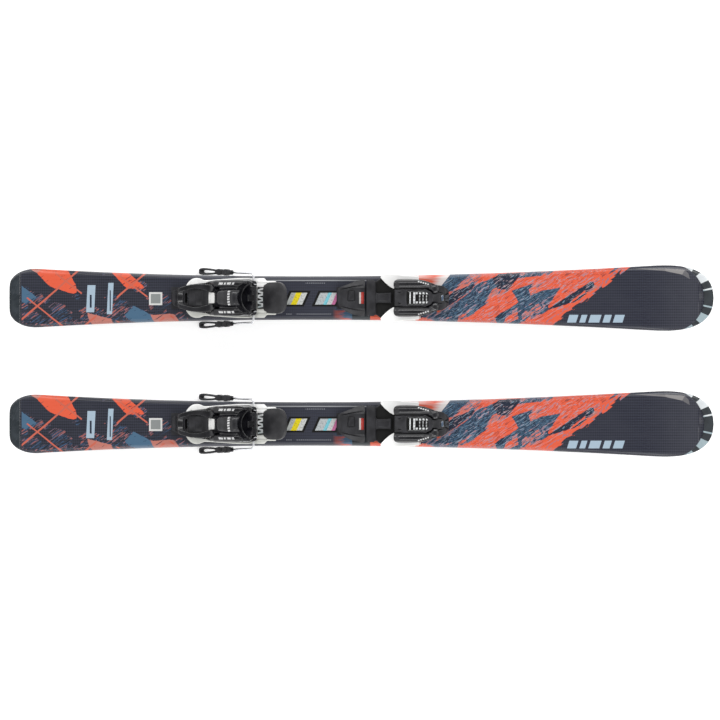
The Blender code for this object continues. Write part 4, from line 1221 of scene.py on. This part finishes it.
def toe_housing():
    body = channel(20.6, 28.2, 8.3, 117.5)
    shelf = slab(mirrored([(8.8, 26.2), (24, 26.4), (29, 30.4), (60, 30.4), (66, 24)]), 25.2, 28.0)
    side = curved(
        [(70, 34), (70, 50.8), (62, 51.8), (54, 52.2), (51.4, 54.6), (56, 58.2), (66, 60.8), (86, 61.4),
            (98, 60.8), (106, 58.6), (111, 52.5), (124, 49.4), (131.5, 44), (131.5, 27), (100, 27), (92, 33)],
        steps=3,
    )
    plan = mirrored([(51, 11.8), (53, 12.8), (66, 13.4), (98, 13.0), (106, 6.4), (131.5, 6.2)])
    tower = common(slab(plan, 20, 80), slab(side, -40, 40, plane="XZ"))
    brow = slab(rounded([(96, 12.4), (103, 11.6), (108.6, 8.4), (111, 3)]), 59.2, 60.9)
    nose = mirrored([(94, 18.6), (112, 20.2), (125, 18.9), (132.4, 14.4), (135.6, 9.6), (135.9, 3)])
    nose_side = curved(
        [(94, 25.6), (94, 38), (101, 46), (110, 49.2), (125, 49.6), (132, 47), (135.6, 39), (135.6, 25.6),
            (120, 25.4), (105, 25.4)],
        steps=3,
    )
    front = common(slab(nose, 20, 80), slab(nose_side, -40, 40, plane="XZ"))
    bore = cylinder(5.6, (78, 0, 43), (140, 0, 43))
    mouth = cylinder(7.3, (129.5, 0, 43), (140, 0, 43))
    frame = box((122.0, 129.4), (-6.0, 6.0), (49.0, 60))
    grooves = [slab([(119.5, s * 8.0), (120.9, s * 7.6), (133.6, s * 8.6), (133.4, s * 9.8), (121, s * 9.0),
        (112, s * 17.4), (111, s * 16.4)], 47.6, 60) for s in (1, -1)]
    waist = [slab([(56, s * 8.8), (64, s * 9.6), (64, s * 8.2), (57, s * 7.4)], 57, 64) for s in (1, -1)]
    recess = slab(rounded([(69.5, 10.2), (73, 11.4), (92, 11.2), (101, 9.2), (104.5, 5)]),
        60.1, 64)
    posts = [cylinder(3.5, (114, s * 13.5, 45), (114, s * 13.5, 55.0)) for s in (1, -1)]
    body = join(body, shelf, tower, brow, front, *posts)
    return moulded(cut(body, bore, mouth, frame, recess, *grooves, *waist), voxel=0.6, smoothing=4)


def toe_window():
    plate = slab(rounded([(70.4, 9.6), (74, 10.7), (92, 10.5), (100.5, 8.6), (103.6, 4.6)]),
        59.2, 60.6)
    return bevelled(plate, 0.3, 2)


def toe_gauge():
    """The small window that shows the release setting, on top of the nose."""
    return bevelled(box((123.0, 128.4), (-5.2, 5.2), (47.8, 49.5)), 0.5, 2)


def toe_bed():
    """The dark floor between the wings and the white plate, and in front of the boot plate, made near-black
    to paint the deep shade in these recesses.
    """
    plan = mirrored([(50.6, 12), (52, 25.5), (58, 28.4), (80, 28.2), (96, 24.6), (108, 20.4), (112, 18)])
    low = mirrored([(23.5, 24.5), (29.5, 29.2), (60, 29.2)])
    return moulded(join(slab(plan, 31.5, 34.0), slab(low, 27.6, 28.6)), voxel=0.5, smoothing=3)


def wing_height(x, y):
    """The wing's top: a rounded ridge along the outside, lower towards the tower and the pivot."""
    ridge = level(((46, 54), (51, 60.4), (60, 63.2), (72, 64.2), (92, 64.0), (104, 61.4), (110, 59.2),
        (122, 57)), x)
    away = abs(y) - 21.8
    boss = 57.8 - 0.05 * ((x - 114) ** 2 + (abs(y) - 13.5) ** 2)
    if away > 0:
        return max(boss, ridge - 0.075 * away**2 - 0.0016 * away**4)
    return max(boss, ridge - 0.062 * away**2)


def toe_base():
    ear = [(53.5, 14), (49.5, 14.4), (44, 17.6), (37, 23.6), (31.5, 29.4), (29.6, 32.6), (32, 35.2),
        (37, 36.4), (54, 36.4), (66, 34.8), (78, 33.8), (89.3, 33.2), (89.3, 24)]
    body = slab(mirrored(ear), 29, 32.9)
    outline = [(31, 34.2), (36, 36.3), (54, 36.3), (66, 34.7), (64, 34.0)]
    skirts = [slab([(x, s * y) for x, y in outline], 22.8, 31) for s in (1, -1)]
    return moulded(join(body, *skirts), voxel=0.55, smoothing=4)


def toe_wing(sign):
    x, y = 114.0, 13.5
    outer = curved(
        [(120, 12), (119.4, 17.2), (114, 20.9), (104, 24.9), (94, 27.6), (80, 29.2), (66, 29.5), (56.5, 28.8),
            (51.4, 26.2), (50.0, 21.6), (50.6, 16.8), (54, 14.6), (64, 14.5), (82, 14.5), (99, 14.4),
            (105.6, 11.4), (111, 7.9), (116.5, 7.9)],
        steps=3,
    )
    side = curved([(49.5, 51.3), (49.6, 58), (54, 66), (80, 68), (112, 66), (120.4, 58), (120.4, 51.3),
        (100, 51.2), (75, 51.2)], steps=3)
    lip = common(relief((48, 122), (6, 31), 45, wing_height), slab(outer, 40, 70),
        slab(side, 0, 40, plane="XZ"))
    wall = slab(
        curved([(53.5, 23.8), (57, 28), (68, 28.4), (82, 27.8), (89.5, 25.4), (89.6, 22.2), (72, 21.8),
            (57, 21.8)], steps=3), 35.2, 53
    )
    hole = cylinder(4.0, (x, y, 30), (x, y, 55.6))
    body = moulded(cut(join(lip, wall), hole), voxel=0.55, smoothing=5)
    return body if sign > 0 else flipped(body)


def wing_dashes(sign):
    """Plain pale bars along the front of a wing."""
    bars = []
    for i in range(5):
        x = 87.5 + 3.6 * i
        y = 26.0 - 1.05 * i
        bars.append(slab([(x, y - 1.5), (x + 2.3, y - 2.0), (x + 2.9, y), (x + 0.6, y + 0.5)], 50, 80))
    skin = relief((84, 110), (16, 30), 50, lambda x, y: wing_height(x, y) + 0.6)
    body = common(join(*bars), skin)
    return body if sign > 0 else flipped(body)


def afd_plate():
    bar = slab(mirrored([(8.2, 26.8), (9.4, 27.9), (19.6, 28.0), (21.6, 26), (21.9, 12)]), 29, 34.9)
    step = slab(mirrored([(15.5, 9.4), (23, 9.2), (23, 8)]), 29, 33.9)
    tongue = slab(rounded([(19, 8.2), (26, 7.2), (38, 7.6), (45.6, 7.9), (46.6, 6.8)]), 29,
        33.5)
    line = box((11.0, 12.0), (-30, 30), (33.6, 36))
    recess = slab(rounded([(26, 3.8), (30, 4.6), (42, 5.0), (44, 4.4)], steps=2), 32.4, 33.9)
    return moulded(cut(join(bar, step, tongue), line, recess), voxel=0.45, smoothing=3)


def toe_latch():
    upper = [(-36.6, 1), (-36.2, 12.6), (-33, 16.2), (-24, 20.0), (-15, 23.4), (-8, 26.6), (0, 27.8),
        (5.8, 27.8)]
    lower = [(5.8, -27.2), (-3.5, -27.2), (-10, -26.2), (-18, -23.7), (-27, -19), (-33.5, -14), (-36.2, -9),
        (-36.6, -4)]
    side = [(-37, 25.2), (-37, 28.4), (-33, 30.4), (-22, 31.5), (5.4, 31.5), (6.1, 30), (6.1, 27.3),
        (2.5, 25.2)]
    across = [(28.6, 25.2), (28.6, 26.6), (22.5, 29.0), (15, 31.8), (-15, 31.8), (-22.5, 29.0), (-28.6, 26.6),
        (-28.6, 25.2)]
    plan = slab(curved([*upper, *lower], steps=3), 20, 40)
    body = common(plan, slab(side, -40, 40, plane="XZ"), slab(across, -60, 20, plane="YZ"))
    outer = [(-22.0, -5.6), (-20.4, 12.6), (-9.6, 12.0), (-9.0, -5.0)]
    inner = [(-20.0, -3.7), (-18.6, 10.4), (-11.4, 10.0), (-10.9, -3.2)]
    frame = cut(slab(outer, 29.6, 33), slab(inner, 29, 34))
    edges = [slab([(-31, s * 12.6), (-14, s * 16.2), (3.5, s * 19.2), (3.5, s * 20.6), (-14, s * 17.8),
        (-31, s * 14.2)], 29.2, 33) for s in (1, -1)]
    return moulded(cut(body, frame, *edges), voxel=0.4, smoothing=3)


def toe_sticker():
    return slab([(-3.2, -9.0), (-3.2, 9.0), (4.2, 9.0), (4.2, -9.0)], 31.2, 31.62)


# ---------------------------------------------------------------- placing


def fit(shape, name, body, finish, nodes=(), second=None):
    """Puts the shape on both skis, riding on their bodies and standing for the named CAD nodes."""
    mesh = shape.data
    bpy.data.objects.remove(shape)
    mesh.materials.clear()
    mesh.materials.append(finish)
    if second is not None:
        mesh.materials.append(second)
    for ski, y in SKIS.items():
        obj = bpy.data.objects.new(f"{ski}_{name}", mesh)
        obj.location = Vector((0, y, LIFT)) * MM
        bpy.context.scene.collection.objects.link(obj)
        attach(obj, f"ski_{ski}" if body == "ski" else f"{ski}_{body}")
        if nodes:
            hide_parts(*[f"ski_{ski}_{node}" for node in nodes])


def paint_sides(mesh):
    """Gives the cap's steep sides and underside the second material."""
    for face in mesh.polygons:
        x, y, _ = face.center / MM
        if abs(y) > half_width(x) - 2.6 or face.normal.z < 0.35:
            face.material_index = 1


def add_topsheet(finishes):
    skin = topsheet()
    paint_sides(skin.data)
    fit(skin, "topsheet", "ski", finishes["topsheet"], ["topsheet"], finishes["side"])


# Name, shape, the body it rides on, its finish and its slot
STAND_INS = (
    ("tip_protector", tip_protector, "ski", "tip", "tip_print"),
    ("tail_protector", tail_protector, "ski", "tail", "black_gloss"),
    ("heel_chassis", heel_chassis, "heel", "white", "white_plastic"),
    ("heel_housing", heel_housing, "heel", "black", "black_plastic"),
    ("heel_scale", heel_scale, "heel", "scale", "white_plastic"),
    ("heel_jaw", heel_jaw, "jaw", "gloss", "black_gloss"),
    ("heel_lever", heel_lever, "lever", "gloss", "black_plastic"),
    ("heel_latch", heel_latch, "heel_latch", "black", "black_plastic"),
    ("brake_bracket", brake_bracket, "heel", "black", "black_plastic"),
    ("brake_wire", brake_wire, "brake", "wire", "spring_steel"),
    ("brake_pedal", brake_pedal, "brake", "pad", "pad_black"),
    ("toe_housing", toe_housing, "toe", "black", "black_plastic"),
    ("toe_base", toe_base, "toe", "white", "white_plastic"),
    ("afd_plate", afd_plate, "afd", "black", "black_plastic"),
    ("toe_latch", toe_latch, "toe_latch", "black", "black_plastic"),
)
EXTRAS = (
    ("heel_comb_bed", heel_comb_bed, "heel", "black", "black_plastic"),
    ("heel_comb", heel_comb, "heel", "bright", "white_plastic"),
    ("heel_dashes", heel_dashes, "jaw", "dash", "white_plastic"),
    ("brake_sleeves", brake_sleeves, "brake", "white", "white_plastic"),
    ("toe_window", toe_window, "toe", "window", "black_gloss"),
    ("toe_gauge", toe_gauge, "toe", "gauge", "black_gloss"),
    # The toe bed's near-black finish is painted shade
    ("toe_bed", toe_bed, "toe", "deep", "black_plastic"),
    ("toe_sticker", toe_sticker, "toe_latch", "sticker", "white_plastic"),
)


def add_pieces(finishes):
    """The pieces that stand for the CAD node of their own name, the extra ones and the handed ones."""
    for name, shape, body, finish, slot in STAND_INS:
        fit(shape(), name, body, finishes[finish], [name])
    for name, shape, body, finish, slot in EXTRAS:
        fit(shape(), name, body, finishes[finish])
    for side, sign in (("left", 1), ("right", -1)):
        paddle, wing = f"brake_paddle_{side}", f"toe_wing_{side}"
        fit(brake_paddle(sign), paddle, "brake", finishes["black"], [paddle])
        fit(toe_wing(sign), wing, f"wing_{side}", finishes["gloss"], [wing])
        fit(wing_dashes(sign), f"wing_dashes_{side}", f"wing_{side}", finishes["dash"])


def finish_cad_nodes(finishes):
    """Materials and softened edges for the CAD solids that stay in view."""
    kept = {
        "core": "wood",
        "running_base": "base",
        "steel_edge": "edge",
        "heel_track": "black",
        "toe_track": "black",
        "heel_pin": "steel",
        "heel_spring": "wire",
        "toe_spring": "wire",
        "heel_adjusting_screw": "blued",
        "toe_adjusting_screw": "blued",
    }
    for ski in SKIS:
        for node, finish in kept.items():
            obj = frame["nodes"][f"ski_{ski}_{node}"]
            obj.data.materials.clear()
            obj.data.materials.append(finishes[finish])
            if node in ("heel_track", "toe_track", "heel_pin", "heel_adjusting_screw", "toe_adjusting_screw"):
                bevel = obj.modifiers.new("bevel", "BEVEL")
                bevel.width = 0.4 * MM
                bevel.segments = 2
                bevel.limit_method = "ANGLE"


# ---------------------------------------------------------------- studio


def studio():
    scene = bpy.context.scene
    scene.view_settings.view_transform = "Standard"

    floor = box((-20000, 20000), (-20000, 20000), (-20, -0.5))
    floor.name = "floor"
    g = Graph("pale_floor", roughness=0.9, specular=0.1)
    g.set("Base Color", g.mix(g.noise(g.mapped((0.002,) * 3)), (0.86, 0.86, 0.86, 1), (0.88, 0.88, 0.88, 1)))
    g.set("Emission Color", (1, 1, 1, 1))
    g.set("Emission Strength", 0.3)
    floor.data.materials.append(g.material)

    # A white tent that is darker straight above, so that flat tops stay deep and slopes catch light
    world = bpy.data.worlds.new("studio")
    scene.world = world
    world.use_nodes = True
    tree = world.node_tree
    place = tree.nodes.new("ShaderNodeTexCoord")
    split = tree.nodes.new("ShaderNodeSeparateXYZ")
    fall = tree.nodes.new("ShaderNodeMapRange")
    for i, value in enumerate((0.74, 0.97, 1.3, 0.45)):
        fall.inputs[i + 1].default_value = value
    tree.links.new(place.outputs["Generated"], split.inputs[0])
    tree.links.new(split.outputs[2], fall.inputs[0])
    background = tree.nodes["Background"]
    background.inputs["Color"].default_value = (1, 1, 1, 1)
    tree.links.new(fall.outputs[0], background.inputs["Strength"])

    lamps = (
        ("key", (-0.1, 1.5, 1.85), (3.2, 0.45), 28),
        ("fill", (0.4, -1.7, 1.8), (2.8, 0.5), 19),
        ("end", (2.2, 0.3, 1.6), (0.8, 1.6), 5),
    )
    for name, place, size, power in lamps:
        light = bpy.data.lights.new(name, "AREA")
        light.shape = "RECTANGLE"
        light.size, light.size_y = size
        light.energy = power
        obj = bpy.data.objects.new(name, light)
        obj.location = place
        obj.rotation_euler = (-Vector(place)).to_track_quat("-Z", "Y").to_euler()
        obj.visible_camera = False
        scene.collection.objects.link(obj)

    camera = bpy.data.cameras.new("camera")
    camera.lens = 600
    camera.sensor_width = 36
    camera.clip_end = 200
    obj = bpy.data.objects.new("camera", camera)
    obj.location = (-0.0018, 0.0015, 18.645)
    scene.collection.objects.link(obj)
    scene.camera = obj


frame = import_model()
studio()
finishes = materials()
add_topsheet(finishes)
add_pieces(finishes)
finish_cad_nodes(finishes)
